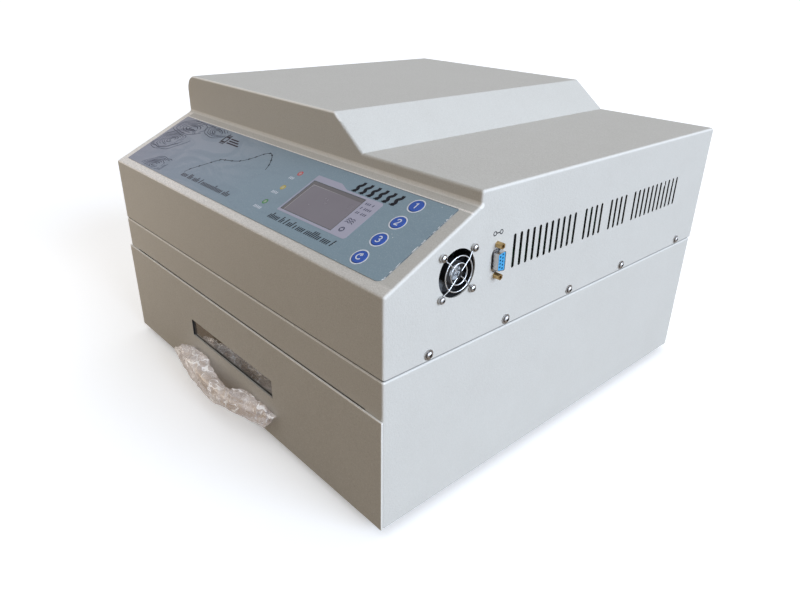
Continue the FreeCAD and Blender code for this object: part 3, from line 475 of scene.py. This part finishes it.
def oven_window():
    """Dark mirror-like heat-proof glass with a painted brown reflection at one end and long grey smears."""
    pane = Finish("oven_glass", Metallic=0.35, Coat_Weight=1.0, IOR=1.8, Coat_Roughness=0.03)
    x = pane.place()[0]
    smear = pane.grain(0.018, 3.0, 0.6, 0.5, at=pane.stretched(0.26, 1, 1.9))
    streak = pane.grain(0.009, 3.0, 0.6, 0.5, at=pane.stretched(0.30, 1, 2.3))
    # Painted reflection: a brown-grey patch at the left end of the pane, with a ragged edge.
    painted_reflection = (x + streak * 0.010).under(-0.033, 0.002)
    colour = pane.mix(smear.over(0.52, 0.12), (0.034, 0.032, 0.029), (0.100, 0.096, 0.088))
    colour = pane.mix(streak.over(0.62, 0.03) * 0.42, colour, (0.34, 0.33, 0.31))
    colour = pane.mix(painted_reflection * 0.88, colour, (0.290, 0.256, 0.232))
    pane.set(Base_Color=colour, Roughness=0.06 + smear.over(0.60, 0.08) * 0.14, Alpha=0.90 + smear * 0.08)
    return pane.material


def panel_film():
    """The printed panel: lilac grey at the left to steel blue, with pale wisps and a chipped right edge."""
    film = SlopeFinish("panel_film", Metallic=0.0, Coat_Weight=0.25, Coat_Roughness=0.25)
    across, up = film.across_and_up()
    share = ((across - OVERLAY_LEFT) / 420).clear()
    colour = film.ramp(share, [(0.0, (0.285, 0.292, 0.368)), (0.22, (0.250, 0.302, 0.378)),
                               (0.5, (0.220, 0.302, 0.368)), (0.8, (0.195, 0.285, 0.345)),
                               (1.0, (0.200, 0.288, 0.345))])
    wisps = film.grain(0.055, 4.0, 0.6, 2.2, at=film.stretched(1.0, 1.9, 1.9))
    left = across.under(-40, 60)
    colour = film.mix(wisps.over(0.55, 0.08) * left * 0.22, colour, (0.44, 0.45, 0.52))
    colour = film.mix(wisps.under(0.42, 0.08) * 0.16, colour, (0.13, 0.19, 0.25))
    fine = film.grain(0.0009, 2.0, 0.6)
    colour = film.mix(fine.over(0.58, 0.05) * 0.20, colour, (0.42, 0.48, 0.54))
    right_edge = (OVERLAY_RIGHT - across) + film.grain(0.004, 3.0, 0.7) * 2.4 - 1.3
    chips = right_edge.under(0.60, 0.14) * up.between(11, 84, 4) * film.grain(0.0026, 2.0).over(0.52, 0.03)
    nicks = film.grain(0.0028, 1.0, 0.5).over(0.775, 0.010) * across.over(150, 20)
    colour = film.mix(chips.most(nicks * 0.7), colour, (0.86, 0.87, 0.86))
    rim = (OVERLAY_RIGHT - across).least(OVERLAY_UPPER - up).under(0.22, 0.08) * across.over(40, 30)
    colour = film.mix(rim * 0.7, colour, (0.045, 0.055, 0.065))
    film.set(Base_Color=colour, Roughness=0.36 + wisps * 0.10, Normal=film.bump(fine, 0.00003, 0.35))
    return film.material


def display_pane():
    """The unlit display window: a grey-violet field with a painted shadow along its left and top edges, a
    thin dark border and a thin pale line.
    """
    pane = SlopeFinish("lcd_pane", Metallic=0.0, Coat_Weight=0.6, Coat_Roughness=0.12)
    across, up = pane.across_and_up()
    left, right = PANE_SIDES
    low, high = PANE_ENDS
    inset = (across - left).least(right - across).least((up - low).least(high - up))
    near_corner = (across - left).least(high - up)
    colour = pane.mix(pane.grain(0.03, 3.0), (0.150, 0.128, 0.160), (0.185, 0.165, 0.196))
    rows = (up / 0.62).part().between(0.12, 0.88, 0.06)
    colour = pane.mix(rows * 0.04, colour, (0.24, 0.22, 0.26))
    # Painted shadow: a darker band along the left and top edges, where the recess shades the display.
    colour = pane.mix(near_corner.under(4.4, 0.3), colour, (0.100, 0.088, 0.098))
    colour = pane.mix(near_corner.between(4.1, 4.7, 0.12) * across.under(96, 30), colour, (0.34, 0.32, 0.33))
    colour = pane.mix(inset.under(0.7, 0.2), colour, (0.060, 0.056, 0.064))
    pane.set(Base_Color=colour, Roughness=0.24 + pane.grain(0.012, 2.0) * 0.05)
    return pane.material


def lens(name, rim, middle, led):
    """A small indicator lens, deep coloured at its rim and pale in the middle."""
    glassy = Finish(name, Metallic=0.0, Coat_Weight=0.8)
    sockets = {0: glassy.point(), 1: on_slope(*LED_PLACES[led])}
    gap = glassy.node("ShaderNodeVectorMath", {"operation": "DISTANCE"}, sockets, "Value")
    lens_radius = 0.0031
    colour = glassy.ramp(gap / lens_radius, [(0.0, middle), (0.38, middle), (0.62, rim), (1.0, rim)])
    glassy.set(Base_Color=colour, Roughness=0.18 + glassy.grain(0.001) * 0.1)
    return glassy.material


def ink(name, tone, wear):
    """Screen-printed ink, slightly broken at a fine scale."""
    print_ = Finish(name, Metallic=0.0, Specular_IOR_Level=0.12)
    broken = print_.grain(0.0009, 2.0, 0.6)
    light = tuple(c + (0.42 - c) * 0.35 for c in tone)
    print_.set(Base_Color=print_.mix(broken.over(0.60, 0.06) * wear, tone, light),
               Roughness=0.42 + broken * 0.2)
    return print_.material


def packing_film():
    """Thin clear crumpled film: see-through on its flats, with painted white highlights along its creases and
    fine glint lines over a faint milky haze, and a painted glow.
    """
    film = Finish("packing_film", Metallic=0.0, IOR=1.5, Coat_Weight=0.8, Coat_Roughness=0.05)
    broad = film.grain(0.020, 2.0, 0.5, 0.8, at=film.stretched(0.7, 1.0, 1.0))
    # Painted highlights: white lines along creases and fine glint lines stand in for glints; the cloud is a
    # real milky haze.
    crease = abs(broad - 0.5).under(0.014, 0.009)
    fine = film.grain(0.007, 3.0, 0.55, 0.8)
    glint = abs(fine - 0.52).under(0.008, 0.006)
    cloud = film.grain(0.026, 2.0, 0.5)
    haze_and_glints = (crease * 0.75 + glint * 0.55 + cloud.over(0.54, 0.10) * 0.16).clear()
    colour = film.mix(haze_and_glints, (0.86, 0.80, 0.78), (0.99, 0.98, 0.97))
    x, _, z = film.place()
    bare = x.between(-0.004, 0.028, 0.012) * z.under(0.032, 0.005)
    # Painted glow: a weak emission, whitest on the painted highlights, makes the film glow as if lit from
    # within.
    film.set(Base_Color=colour, Roughness=0.12 + fine * 0.14,
             Alpha=(0.20 + haze_and_glints * 0.62 + cloud * 0.18).clear() * (1 - bare * 0.16),
             Emission_Color=film.mix(haze_and_glints, (0.72, 0.62, 0.58), (1.0, 0.97, 0.95)), Emission_Strength=0.16,
             Normal=film.bump(fine + broad * 2.0, 0.0026, 0.7))
    return film.material


def floor_finish():
    """A floor that looks pale to the camera and throws back only a little warm light."""
    board = Finish("pale_floor", Metallic=0.0, Specular_IOR_Level=0.1)
    seen = board.node("ShaderNodeLightPath", {}, {}, "Is Camera Ray")
    cloud = board.grain(0.4, 2.0)
    pale = board.mix(cloud, (0.93, 0.93, 0.93), (0.95, 0.95, 0.95))
    board.set(Base_Color=board.mix(seen, (0.30, 0.23, 0.16), pale), Roughness=0.9,
              Emission_Color=board.mix(seen, (0.0, 0.0, 0.0), (1.0, 1.0, 1.0)), Emission_Strength=0.30)
    return board.material


finishes = {
    "grey_powder_coat": powder_coat(),
    "galvanised_sheet": galvanised(),
    "bright_screws": bright_steel("bright_screws", (0.66, 0.64, 0.63), 0.30, crevices=0.0018),
    "chrome_wire": bright_steel("chrome_wire", (0.90, 0.93, 0.97), 0.30, fingerprints=0.1),
    "stainless": bright_steel("stainless", (0.62, 0.60, 0.57), 0.26, brushed=(0.06, 1, 1)),
    "anodised_handle": anodised(),
    "clear_film": packing_film(),
    "oven_glass": oven_window(),
    "silicone_seal": plastic("silicone_seal", (0.025, 0.025, 0.025), 0.62),
    "black_rubber": plastic("black_rubber", (0.022, 0.022, 0.022), 0.72, 0.0012, 0.00012),
    "black_plastic": plastic("black_plastic", (0.012, 0.012, 0.014), 0.38),
    "panel_film": panel_film(),
    "lcd_pane": display_pane(),
    "display_metal": bright_steel("display_metal", (0.30, 0.30, 0.31), 0.34),
    "blue_key": plastic("blue_key", (0.004, 0.066, 0.380), 0.42, 0.0006, 0.00002),
    "red_lens": lens("red_lens", (0.46, 0.020, 0.030), (0.50, 0.24, 0.24), "led_red"),
    "amber_lens": lens("amber_lens", (0.44, 0.34, 0.03), (0.46, 0.42, 0.20), "led_amber"),
    "green_lens": lens("green_lens", (0.015, 0.20, 0.04), (0.25, 0.34, 0.24), "led_green"),
    "circuit_board": circuit_board(),
    "hub_foil": hub_foil(),
    "blue_insert": plastic("blue_insert", (0.045, 0.290, 0.540), 0.34, 0.0006, 0.00002, 0.2, 0.0014),
    "plated_shell": bright_steel("plated_shell", (0.66, 0.65, 0.65), 0.22, crevices=0.0014),
    "brass_hex": brass("brass_hex", (0.66, 0.47, 0.22)),
    "socket_brass": brass("socket_brass", (0.74, 0.58, 0.26)),
    "fibre_wool": fibre_wool(),
    "quartz": quartz_tube(),
    "white_ceramic": plain_ceramic(),
    "raw_aluminium": bright_steel("raw_aluminium", (0.70, 0.71, 0.72), 0.32, brushed=(1, 1, 0.06)),
    "laminated_iron": laminated_iron(),
}


for part in frame["record"]["subparts"]:
    materials = nodes[part["node"]].data.materials
    materials.clear()
    materials.append(finishes[part["material_slot"]])


# ---------------------------------------------------------------- making pieces
def mesh_piece(name, points, faces, material, body, smooth=False):
    """A piece from points and faces, riding on a body and taking the given finish."""
    mesh = bpy.data.meshes.new(name)
    mesh.from_pydata([tuple(p) for p in points], [], faces)
    work = bmesh.new()
    work.from_mesh(mesh)
    bmesh.ops.recalc_face_normals(work, faces=work.faces)
    work.to_mesh(mesh)
    work.free()
    piece = bpy.data.objects.new(name, mesh)
    bpy.context.scene.collection.objects.link(piece)
    mesh.materials.append(material)
    for polygon in mesh.polygons:
        polygon.use_smooth = smooth
    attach(piece, body)
    return piece


class Print:
    """Flat printed marks on a plane, gathered as thin closed slabs into one piece."""

    def __init__(self, plane, low, high):
        self.plane = plane
        self.low = low
        self.high = high
        self.points = []
        self.faces = []

    def slab(self, outline, hole=()):
        """A filled outline of (across, up) points, with one hole if asked."""
        rings = [list(outline)] + ([list(hole)] if hole else [])
        flat = [point for ring in rings for point in ring]
        triangles = tessellate_polygon([[Vector((a, b, 0)) for a, b in ring] for ring in rings])
        start = len(self.points)
        count = len(flat)
        self.points += [self.plane(a, b, self.low) for a, b in flat]
        self.points += [self.plane(a, b, self.high) for a, b in flat]
        self.faces += [tuple(start + n for n in t) for t in triangles]
        self.faces += [tuple(start + count + n for n in reversed(t)) for t in triangles]
        first = start
        for ring in rings:
            size = len(ring)
            for n in range(size):
                a, b = first + n, first + (n + 1) % size
                self.faces.append((a, b, b + count, a + count))
            first += size

    def stroke(self, line, wide):
        """A line of (across, up) points drawn this wide, with square ends."""
        start = len(self.points)
        for n, (a, b) in enumerate(line):
            before = Vector(line[max(n - 1, 0)])
            after = Vector(line[min(n + 1, len(line) - 1)])
            along = (after - before).normalized()
            across = Vector((-along.y, along.x)) * (wide / 2)
            for height in (self.low, self.high):
                self.points.append(self.plane(a + across.x, b + across.y, height))
                self.points.append(self.plane(a - across.x, b - across.y, height))
        last = start + 4 * (len(line) - 1)
        for n in range(start, last, 4):
            for p, q in ((0, 1), (1, 3), (3, 2), (2, 0)):
                self.faces.append((n + p, n + q, n + q + 4, n + p + 4))
        self.faces += [(start, start + 1, start + 3, start + 2), (last, last + 1, last + 3, last + 2)]

    def ring(self, a, b, radius, wide, steps=40):
        turn = [(math.cos(2 * math.pi * n / steps), math.sin(2 * math.pi * n / steps)) for n in range(steps)]
        outer = [(a + c * (radius + wide / 2), b + s * (radius + wide / 2)) for c, s in turn]
        inner = [(a + c * (radius - wide / 2), b + s * (radius - wide / 2)) for c, s in turn]
        self.slab(outer, inner)

    def disc(self, a, b, radius, steps=40):
        turns = [2 * math.pi * n / steps for n in range(steps)]
        self.slab([(a + radius * math.cos(turn), b + radius * math.sin(turn)) for turn in turns])

    def piece(self, name, material, body, slot):
        mesh_piece(name, self.points, self.faces, material, body)


def slope_print():
    """Marks printed on the panel's film."""
    return Print(on_slope, OVERLAY_TOP + INK_LOW, OVERLAY_TOP + INK_HIGH)


def arc(a, b, radius, start, end, steps=12):
    """Points of an arc about (a, b), from start to end in degrees."""
    turns = [math.radians(start + (end - start) * n / steps) for n in range(steps + 1)]
    return [(a + radius * math.cos(turn), b + radius * math.sin(turn)) for turn in turns]


def smooth_line(points, steps=8):
    """A smooth line through points, by Catmull-Rom."""
    line = []
    ends = [points[0]] + list(points) + [points[-1]]
    for n in range(len(points) - 1):
        p = [Vector(q) for q in ends[n:n + 4]]
        for k in range(steps):
            t = k / steps
            q = 0.5 * (2 * p[1] + (p[2] - p[0]) * t + (2 * p[0] - 5 * p[1] + 4 * p[2] - p[3]) * t ** 2
                       + (3 * p[1] - p[0] - 3 * p[2] + p[3]) * t ** 3)
            line.append((q.x, q.y))
    line.append(tuple(points[-1]))
    return line


DARK_INK = ink("dark_print", (0.012, 0.012, 0.018), 0.10)
BROWN_INK = ink("brown_print", (0.050, 0.040, 0.050), 0.20)
SOFT_INK = ink("soft_print", (0.085, 0.090, 0.140), 0.30)
NAVY_INK = ink("navy_print", (0.050, 0.056, 0.090), 0.30)
WHITE_INK = ink("white_print", (0.72, 0.74, 0.80), 0.2)
FRAME_INK = ink("lavender_print", (0.420, 0.410, 0.500), 0.25)


# ---------------------------------------------------------------- prints on the panel
def display_frame():
    """The lavender field round the display, with its slanted tab and a strip of small plain marks."""
    field = slope_print()
    outline = [(59.7, 28.0)] + arc(147.5, 31.0, 3.0, -90, 0) + arc(147.5, 68.8, 3.0, 0, 90)
    outline += [(104.0, 71.8), (92.5, 76.3), (59.7, 76.3)]
    window = [(61.3, 30.3), (131.2, 30.3), (131.2, 69.7), (61.3, 69.7)]
    field.slab(outline, window)
    field.piece("display_frame_print", FRAME_INK, "housing", "panel_film")
    marks = Print(on_slope, OVERLAY_TOP + 0.00008, OVERLAY_TOP + 0.00012)
    for row, groups in ((66.0, (3, 1)), (60.5, (1, 4)), (55.0, (2, 3))):
        across = 134.0
        for group in groups:
            for n in range(group):
                marks.slab([(across, row - 1.2), (across + 1.0, row - 1.2),
                            (across + 1.5, row + 1.2), (across + 0.5, row + 1.2)])
                across += 2.2
            across += 1.8
    for lane in range(3):
        base = 43.0 + lane * 1.9
        marks.stroke(smooth_line([(134.0, base), (136.2, base + 1.1), (138.4, base), (140.6, base + 1.1),
                                  (142.8, base)]), 0.7)
    wheel = (139.0, 35.6)
    marks.ring(*wheel, 2.3, 0.7)
    for n in range(4):
        marks.stroke(arc(*wheel, 1.7, 90 * n, 90 * n + 60, 4), 0.6)
    marks.piece("display_strip_marks", SOFT_INK, "housing", "panel_film")


def profile_chart():
    """The dotted heating curve: a climb, a plateau, a peak and a fall."""
    chart = slope_print()
    steps = 6
    line = smooth_line([(-101, 23), (-98, 29), (-91, 36.5), (-82, 46), (-75, 52.5), (-68, 54.5), (-58, 56.5),
                        (-48, 60), (-40, 66), (-35, 71.5), (-30, 77.5), (-24, 80.8), (-18.5, 79), (-12, 73),
                        (-7.5, 67), (-5, 61)], steps)
    chart.stroke(line, 0.62)
    for n in range(steps, len(line) - 1, steps):
        a, b = line[n]
        ahead = Vector(line[n + 1]) - Vector(line[n - 1])
        ahead.normalize()
        side = Vector((-ahead.y, ahead.x)) * 1.15
        tip = Vector((a, b)) + ahead * 1.9
        back = Vector((a, b)) - ahead * 1.3
        chart.slab([tuple(tip), tuple(back + side), tuple(back - side)])
    chart.piece("profile_curve_print", DARK_INK, "housing", "panel_film")


def bar_row(marks, draw, across, end, up, tall, wide):
    """A row of bold slanted bars in short groups: plain marks where wording would go."""
    while across < end:
        height = tall * draw.choice((0.64, 0.64, 0.64, 1.0))
        lean = 0.24 * height
        marks.slab([(across, up), (across + wide, up), (across + wide + lean, up + height),
                    (across + lean, up + height)])
        across += wide * 1.95 + (wide * 1.4 if draw.random() < 0.14 else 0)


def plain_marks():
    """Dark plain marks in place of wording: two rows of slanted bars, a row of heat waves, a chip sign."""
    marks = slope_print()
    bar_row(marks, random.Random(7), 59, 144, 17.6, 6.8, 1.25)
    for n in range(6):
        base = 109.5 + 9.2 * n
        wave = smooth_line([(base, 73.5), (base + 2.6, 76.4), (base + 0.9, 79.4), (base + 3.7, 82.4),
                            (base + 3.6, 85.6)], 6)
        marks.stroke(wave, 3.3)
        marks.slab([(base - 2.2, 73.1), (base + 3.4, 73.1), (base + 3.7, 74.2), (base - 1.9, 74.2)])
    marks.piece("panel_sign_print", DARK_INK, "housing", "panel_film")

    brown = slope_print()
    bar_row(brown, random.Random(5), -100, -8, 17.6, 6.6, 1.4)
    left, low, size, wall = -110.0, 73.6, 9.4, 1.9
    brown.slab([(left, low), (left + size, low), (left + size, low + size), (left, low + size)],
               [(left + wall, low + wall), (left + size - wall, low + wall),
                (left + size - wall, low + size - wall), (left + wall, low + size - wall)])
    for n in range(4):
        at = left + 0.7 + n * 2.3
        for base in (low - 2.4, low + size + 0.3):
            brown.slab([(at, base), (at + 1.2, base), (at + 1.2, base + 2.1), (at, base + 2.1)])
    for n in range(3):
        up = low + 1.2 + n * 3.2
        brown.stroke([(left + size + 2.6, up), (left + size + 25 - 4 * n, up)], 1.7)
    brown.piece("chip_sign_print", BROWN_INK, "housing", "panel_film")


def contour_lines():
    """Nests of open wavering contour lines in the panel's left corners."""
    lines = slope_print()
    draw = random.Random(3)
    steps = 48
    left, low, high = -210, 10.5, 89.5
    # each nest: across, up, length, height, lean in radians, number of lines
    nests = ((-184, 54, 30, 19, 0.45, 9), (-158, 16, 24, 12, 0.35, 7), (-176, 78, 34, 13, 0.15, 6),
             (-132, 84, 22, 9, 0.0, 5))
    for a, b, long, tall, lean, count in nests:
        for n in range(count):
            size = (n + 1.2) / (count + 0.2)
            start = draw.uniform(-60, 60)
            sweep = draw.uniform(210, 340)
            inside = []
            for k in range(steps + 1):
                turn = math.radians(start + sweep * k / steps)
                c, s = math.cos(turn), math.sin(turn)
                sway = 1 + 0.22 * noise.noise(Vector((c * 1.6, s * 1.6, n * 0.35 + a)))
                x = long * size * c * sway
                y = tall * size * s * sway
                spot = (a + x * math.cos(lean) - y * math.sin(lean),
                        b + x * math.sin(lean) + y * math.cos(lean))
                if left < spot[0] and low < spot[1] < high:
                    inside.append(spot)
                elif len(inside) > 3:
                    lines.stroke(inside, 0.6)
                    inside = []
            if len(inside) > 3:
                lines.stroke(inside, 0.9 if n < 2 else 0.6)
    lines.piece("contour_print", NAVY_INK, "housing", "panel_film")


def indicator_marks():
    """A short row of small white bars under each indicator, and a white ring round each key."""
    marks = slope_print()
    for n, (a, b) in enumerate(LED_PLACES.values()):
        for k in range(n + 3):
            left = a - 6.5 + k * 2.3
            marks.slab([(left, b - 9.4), (left + 0.9, b - 9.4), (left + 1.4, b - 6.4), (left + 0.5, b - 6.4)])
    for up in KEY_UPS:
        marks.ring(KEY_ACROSS, up, 6.95, 1.0, 56)
    marks.piece("white_marks_print", WHITE_INK, "housing", "panel_film")


def key_legends():
    """White numerals on three keys and a turned arrow on the fourth."""
    key_top = OVERLAY_TOP + 0.0004
    pen = 0.95
    signs = {
        "key_one": [[(-1.3, 1.7), (0.2, 3.0), (0.2, -3.0)]],
        "key_two": [smooth_line([(-1.8, 1.6), (-0.8, 2.9), (1.0, 2.8), (1.6, 1.4), (0.2, -0.8),
                                 (-1.9, -2.9)], 5),
                    [(-1.9, -2.9), (2.0, -2.9)]],
        "key_three": [smooth_line([(-1.7, 2.3), (0.0, 3.0), (1.5, 1.9), (0.9, 0.4), (-0.4, 0.1)], 5),
                      smooth_line([(-0.4, 0.1), (1.3, -0.3), (1.7, -1.8), (0.1, -3.0), (-1.8, -2.3)], 5)],
        "key_cancel": [arc(0, 0, 2.6, 60, 330, 16), [(0.4, 3.6), (1.5, 2.1), (-0.2, 1.0)]],
    }
    bodies = {"key_one": "key_1", "key_two": "key_2", "key_three": "key_3", "key_cancel": "key_4"}
    rows = dict(zip(("key_cancel", "key_three", "key_two", "key_one"), KEY_UPS))
    for key, lines in signs.items():
        legend = Print(on_slope, key_top + INK_LOW, key_top + INK_HIGH)
        for line in lines:
            legend.stroke([(KEY_ACROSS + a, rows[key] + b) for a, b in line], pen)
        legend.piece(key + "_legend", WHITE_INK, bodies[key], "blue_key")


def port_sign():
    """A small dark sign on the wall above the data port: two rings joined by a line."""
    low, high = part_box("com_shell")
    mid_y = (low[1] + high[1]) / 2 * 1000
    base = high[2] * 1000 + 4.0

    def on_wall(a, b, off):
        return Vector((SIDE_X + off, (mid_y + a) * MM, (base + b) * MM))

    sign = Print(on_wall, INK_LOW, 0.00008)
    for side in (-1, 1):
        sign.ring(3.6 * side, 2.2, 1.6, 0.75, 20)
    sign.stroke([(-2.0, 2.2), (2.0, 2.2)], 0.8)
    sign.piece("port_sign_print", DARK_INK, "housing", "grey_powder_coat")


def hub_label():
    """A shiny plain label on the hub of the side fan. The hub's face is at the rotor's greatest x."""
    low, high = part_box("cooling_fan_rotor")
    mid_y, mid_z = (low[1] + high[1]) / 2, (low[2] + high[2]) / 2

    def on_hub(a, b, off):
        return Vector((high[0] + off, mid_y + a * MM, mid_z + b * MM))

    label = Print(on_hub, INK_LOW, 0.00010)
    label.disc(0, 0, 5.6)
    label.piece("fan_hub_label", finishes["hub_foil"], "cooling_rotor", "black_plastic")


# ---------------------------------------------------------------- the film round the handle
def handle_wrap():
    """Clear packing film bagged round the bow handle: loose at its ends, hugging the bow in the middle."""
    plate_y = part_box("drawer_front")[0][1]
    # along the bow: x, farthest and nearest distance off the drawer front, bottom and top, in millimetres
    stations = [(-101, 13.5, 10.0, 28.0, 35.5), (-90, 15.0, 4.5, 22.5, 40.5), (-74, 17.6, 1.2, 19.8, 42.5),
                (-58, 20.2, 1.0, 18.8, 43.0), (-46, 21.8, 2.0, 19.0, 42.5), (-36, 22.8, 5.0, 19.4, 41.0),
                (-20, 24.4, 8.6, 20.2, 39.8), (-2, 25.0, 11.2, 20.8, 39.6), (10, 24.6, 12.4, 21.6, 39.4),
                (17, 23.6, 10.0, 22.0, 40.0), (24, 22.0, 5.0, 22.2, 41.5), (34, 19.0, 1.6, 22.2, 42.5),
                (50, 14.0, 0.9, 21.6, 41.5), (64, 9.6, 0.8, 19.2, 40.5), (80, 6.0, 0.8, 16.6, 37.5)]
    handle = nodes["drawer_handle"]
    bow = BVHTree.FromPolygons([handle.matrix_world @ corner.co for corner in handle.data.vertices],
                               [polygon.vertices for polygon in handle.data.polygons])
    film_gap = 0.0010
    squareness = 0.62
    # how far the folds and creases move the film, in millimetres, and the height of a fold that moves nothing
    broad_fold, sharp_fold, grit, drift = 2.1, 0.75, 0.12, 1.6
    still = 0.45
    # past this x the bag leans over, about this height
    lean_from, lean_about = 40, 36
    columns = [smooth_line([(station[0], station[k]) for station in stations], 10) for k in range(1, 5)]
    count = len(columns[0])
    around = 96
    points = []
    for i in range(count):
        x = columns[0][i][0]
        far, near, bottom, top = (column[i][1] for column in columns)
        middle, half = (far + near) / 2, (far - near) / 2
        centre, rise = (top + bottom) / 2, (top - bottom) / 2
        slant = max(0.0, (x - lean_from) / 40) ** 2
        for j in range(around):
            turn = 2 * math.pi * j / around
            c, s = math.cos(turn), math.sin(turn)
            off = middle + half * math.copysign(abs(c) ** squareness, c)
            height = centre + rise * math.copysign(abs(s) ** squareness, s)
            shift = slant * (height - lean_about) * 0.9
            spot = Vector((x + shift, off, height))
            folds = Vector((spot.x / 19.0, (spot.y + spot.z) / 12.0, (spot.y - spot.z) / 14.0))
            warp = noise.noise(spot / 16) * 0.9
            broad = 1 - 2.2 * abs(noise.noise(folds + Vector((warp, 3.1, 7.7))))
            sharp = 1 - 2.2 * abs(noise.noise(folds * 2.1 + Vector((1.3, warp, 2.2))))
            small = noise.noise(spot / 4.0)
            away = Vector((0, c, s)).normalized()
            push = broad_fold * (broad - still) + sharp_fold * (sharp - still) + grit * small
            spot += away * push
            spot.x += drift * noise.noise(spot / 8 + Vector((9, 0, 0)))
            spot.y = max(spot.y, 0.5 + 0.2 * small)
            place = Vector((spot.x * MM, plate_y - spot.y * MM, spot.z * MM))
            on_bow, outward = bow.find_nearest(place)[:2]
            if (place - on_bow).dot(outward) < film_gap:
                place = on_bow + outward * film_gap
            points.append(place)
    faces = []
    for i in range(count - 1):
        for j in range(around):
            a = i * around + j
            b = i * around + (j + 1) % around
            faces.append((a, b, b + around, a + around))
    wrap = mesh_piece("handle_wrap", points, faces, finishes["clear_film"], "drawer",
                      smooth=True)
    skin = wrap.modifiers.new("film thickness", "SOLIDIFY")
    skin.thickness = 0.0001
    skin.offset = 1
    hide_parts("handle_film")


# ---------------------------------------------------------------- stage, light and camera
def lamp(name, kind, energy, colour, source):
    """A light that shines from the direction of source. Gives its settings and its holder."""
    light = bpy.data.lights.new(name, kind)
    light.energy = energy
    light.color = colour
    holder = bpy.data.objects.new(name, light)
    holder.rotation_euler = Vector(source).to_track_quat("Z", "Y").to_euler()
    bpy.context.scene.collection.objects.link(holder)
    return light, holder


def stage():
    """The floor, the sky, a wide soft sun from the fan side and a small warm fill from the left.

    The sky is white to the camera. Its light is warm and dim in front, and brighter behind and above.
    """
    mesh = bpy.data.meshes.new("floor")
    reach = 60.0
    corners = [(-reach, -reach, 0), (reach, -reach, 0), (reach, reach, 0), (-reach, reach, 0)]
    mesh.from_pydata(corners, [], [(0, 1, 2, 3)])
    floor = bpy.data.objects.new("floor", mesh)
    bpy.context.scene.collection.objects.link(floor)
    mesh.materials.append(floor_finish())
    world = bpy.data.worlds.new("studio")
    world.use_nodes = True
    tree = world.node_tree
    place = tree.nodes.new("ShaderNodeTexCoord")
    apart = tree.nodes.new("ShaderNodeSeparateXYZ")
    tree.links.new(place.outputs["Generated"], apart.inputs[0])

    def share(axis, start, end):
        made = tree.nodes.new("ShaderNodeMapRange")
        made.interpolation_type = "SMOOTHSTEP"
        made.inputs["From Min"].default_value = start
        made.inputs["From Max"].default_value = end
        tree.links.new(apart.outputs[axis], made.inputs["Value"])
        return made.outputs["Result"]

    def blend(factor, first, second):
        made = tree.nodes.new("ShaderNodeMix")
        made.data_type = "RGBA"
        tree.links.new(factor, made.inputs[0])
        for socket, colour in ((6, first), (7, second)):
            if isinstance(colour, tuple):
                made.inputs[socket].default_value = (*colour, 1)
            else:
                tree.links.new(colour, made.inputs[socket])
        return made.outputs[2]

    around = blend(share("Y", 0.55, -0.75), (0.60, 0.61, 0.63), (0.340, 0.287, 0.214))
    sky = blend(share("Z", 0.20, 0.95), around, (0.70, 0.70, 0.71))
    seen = tree.nodes.new("ShaderNodeLightPath").outputs["Is Camera Ray"]
    tree.links.new(blend(seen, sky, (1.0, 1.0, 1.0)), tree.nodes["Background"].inputs["Color"])
    bpy.context.scene.world = world
    sun = lamp("window_side", "SUN", 5.0, (0.67, 0.805, 1.0), (0.96, 0.20, 0.20))[0]
    sun.angle = math.radians(50)
    fill, holder = lamp("left_fill", "AREA", 0.62, (1.0, 0.93, 0.84), (-0.45, -0.42, 0.0))
    fill.shape = "DISK"
    fill.size = 0.3
    holder.location = (-0.52, -0.55, 0.07)
    holder.visible_camera = False


def camera():
    """The camera: in front of the oven and to its right, a little above it, tipped slightly."""
    azimuth, elevation, roll = math.radians(46.49), math.radians(26.08), math.radians(1.52)
    level_share = math.cos(elevation)
    back = Vector((math.sin(azimuth) * level_share, -math.cos(azimuth) * level_share, math.sin(elevation)))
    level = Vector((math.cos(azimuth), math.sin(azimuth), 0))
    upright = back.cross(level)
    right = level * math.cos(roll) + upright * math.sin(roll)
    up = upright * math.cos(roll) - level * math.sin(roll)
    view = bpy.data.cameras.new("camera")
    sensor, wide, tall = 36, 800, 600
    focal = 650.5
    axis_x, axis_y = 413.4, 297.9
    view.sensor_width = sensor
    view.lens = focal * sensor / wide
    view.shift_x = (wide / 2 - axis_x) / wide
    view.shift_y = (axis_y - tall / 2) / wide
    holder = bpy.data.objects.new("camera", view)
    centre = Vector((0, front_y + 0.224, FOOT))
    aside, above, away = 0.0127, 0.0423, 0.7938
    place = centre + right * aside + up * above + back * away
    turn = Matrix((right, up, back)).transposed().to_4x4()
    turn.translation = place
    holder.matrix_world = turn
    bpy.context.scene.collection.objects.link(holder)
    bpy.context.scene.camera = holder
    bpy.context.scene.view_settings.view_transform = "Standard"


display_frame()
profile_chart()
plain_marks()
contour_lines()
indicator_marks()
key_legends()
port_sign()
hub_label()
handle_wrap()
stage()
camera()
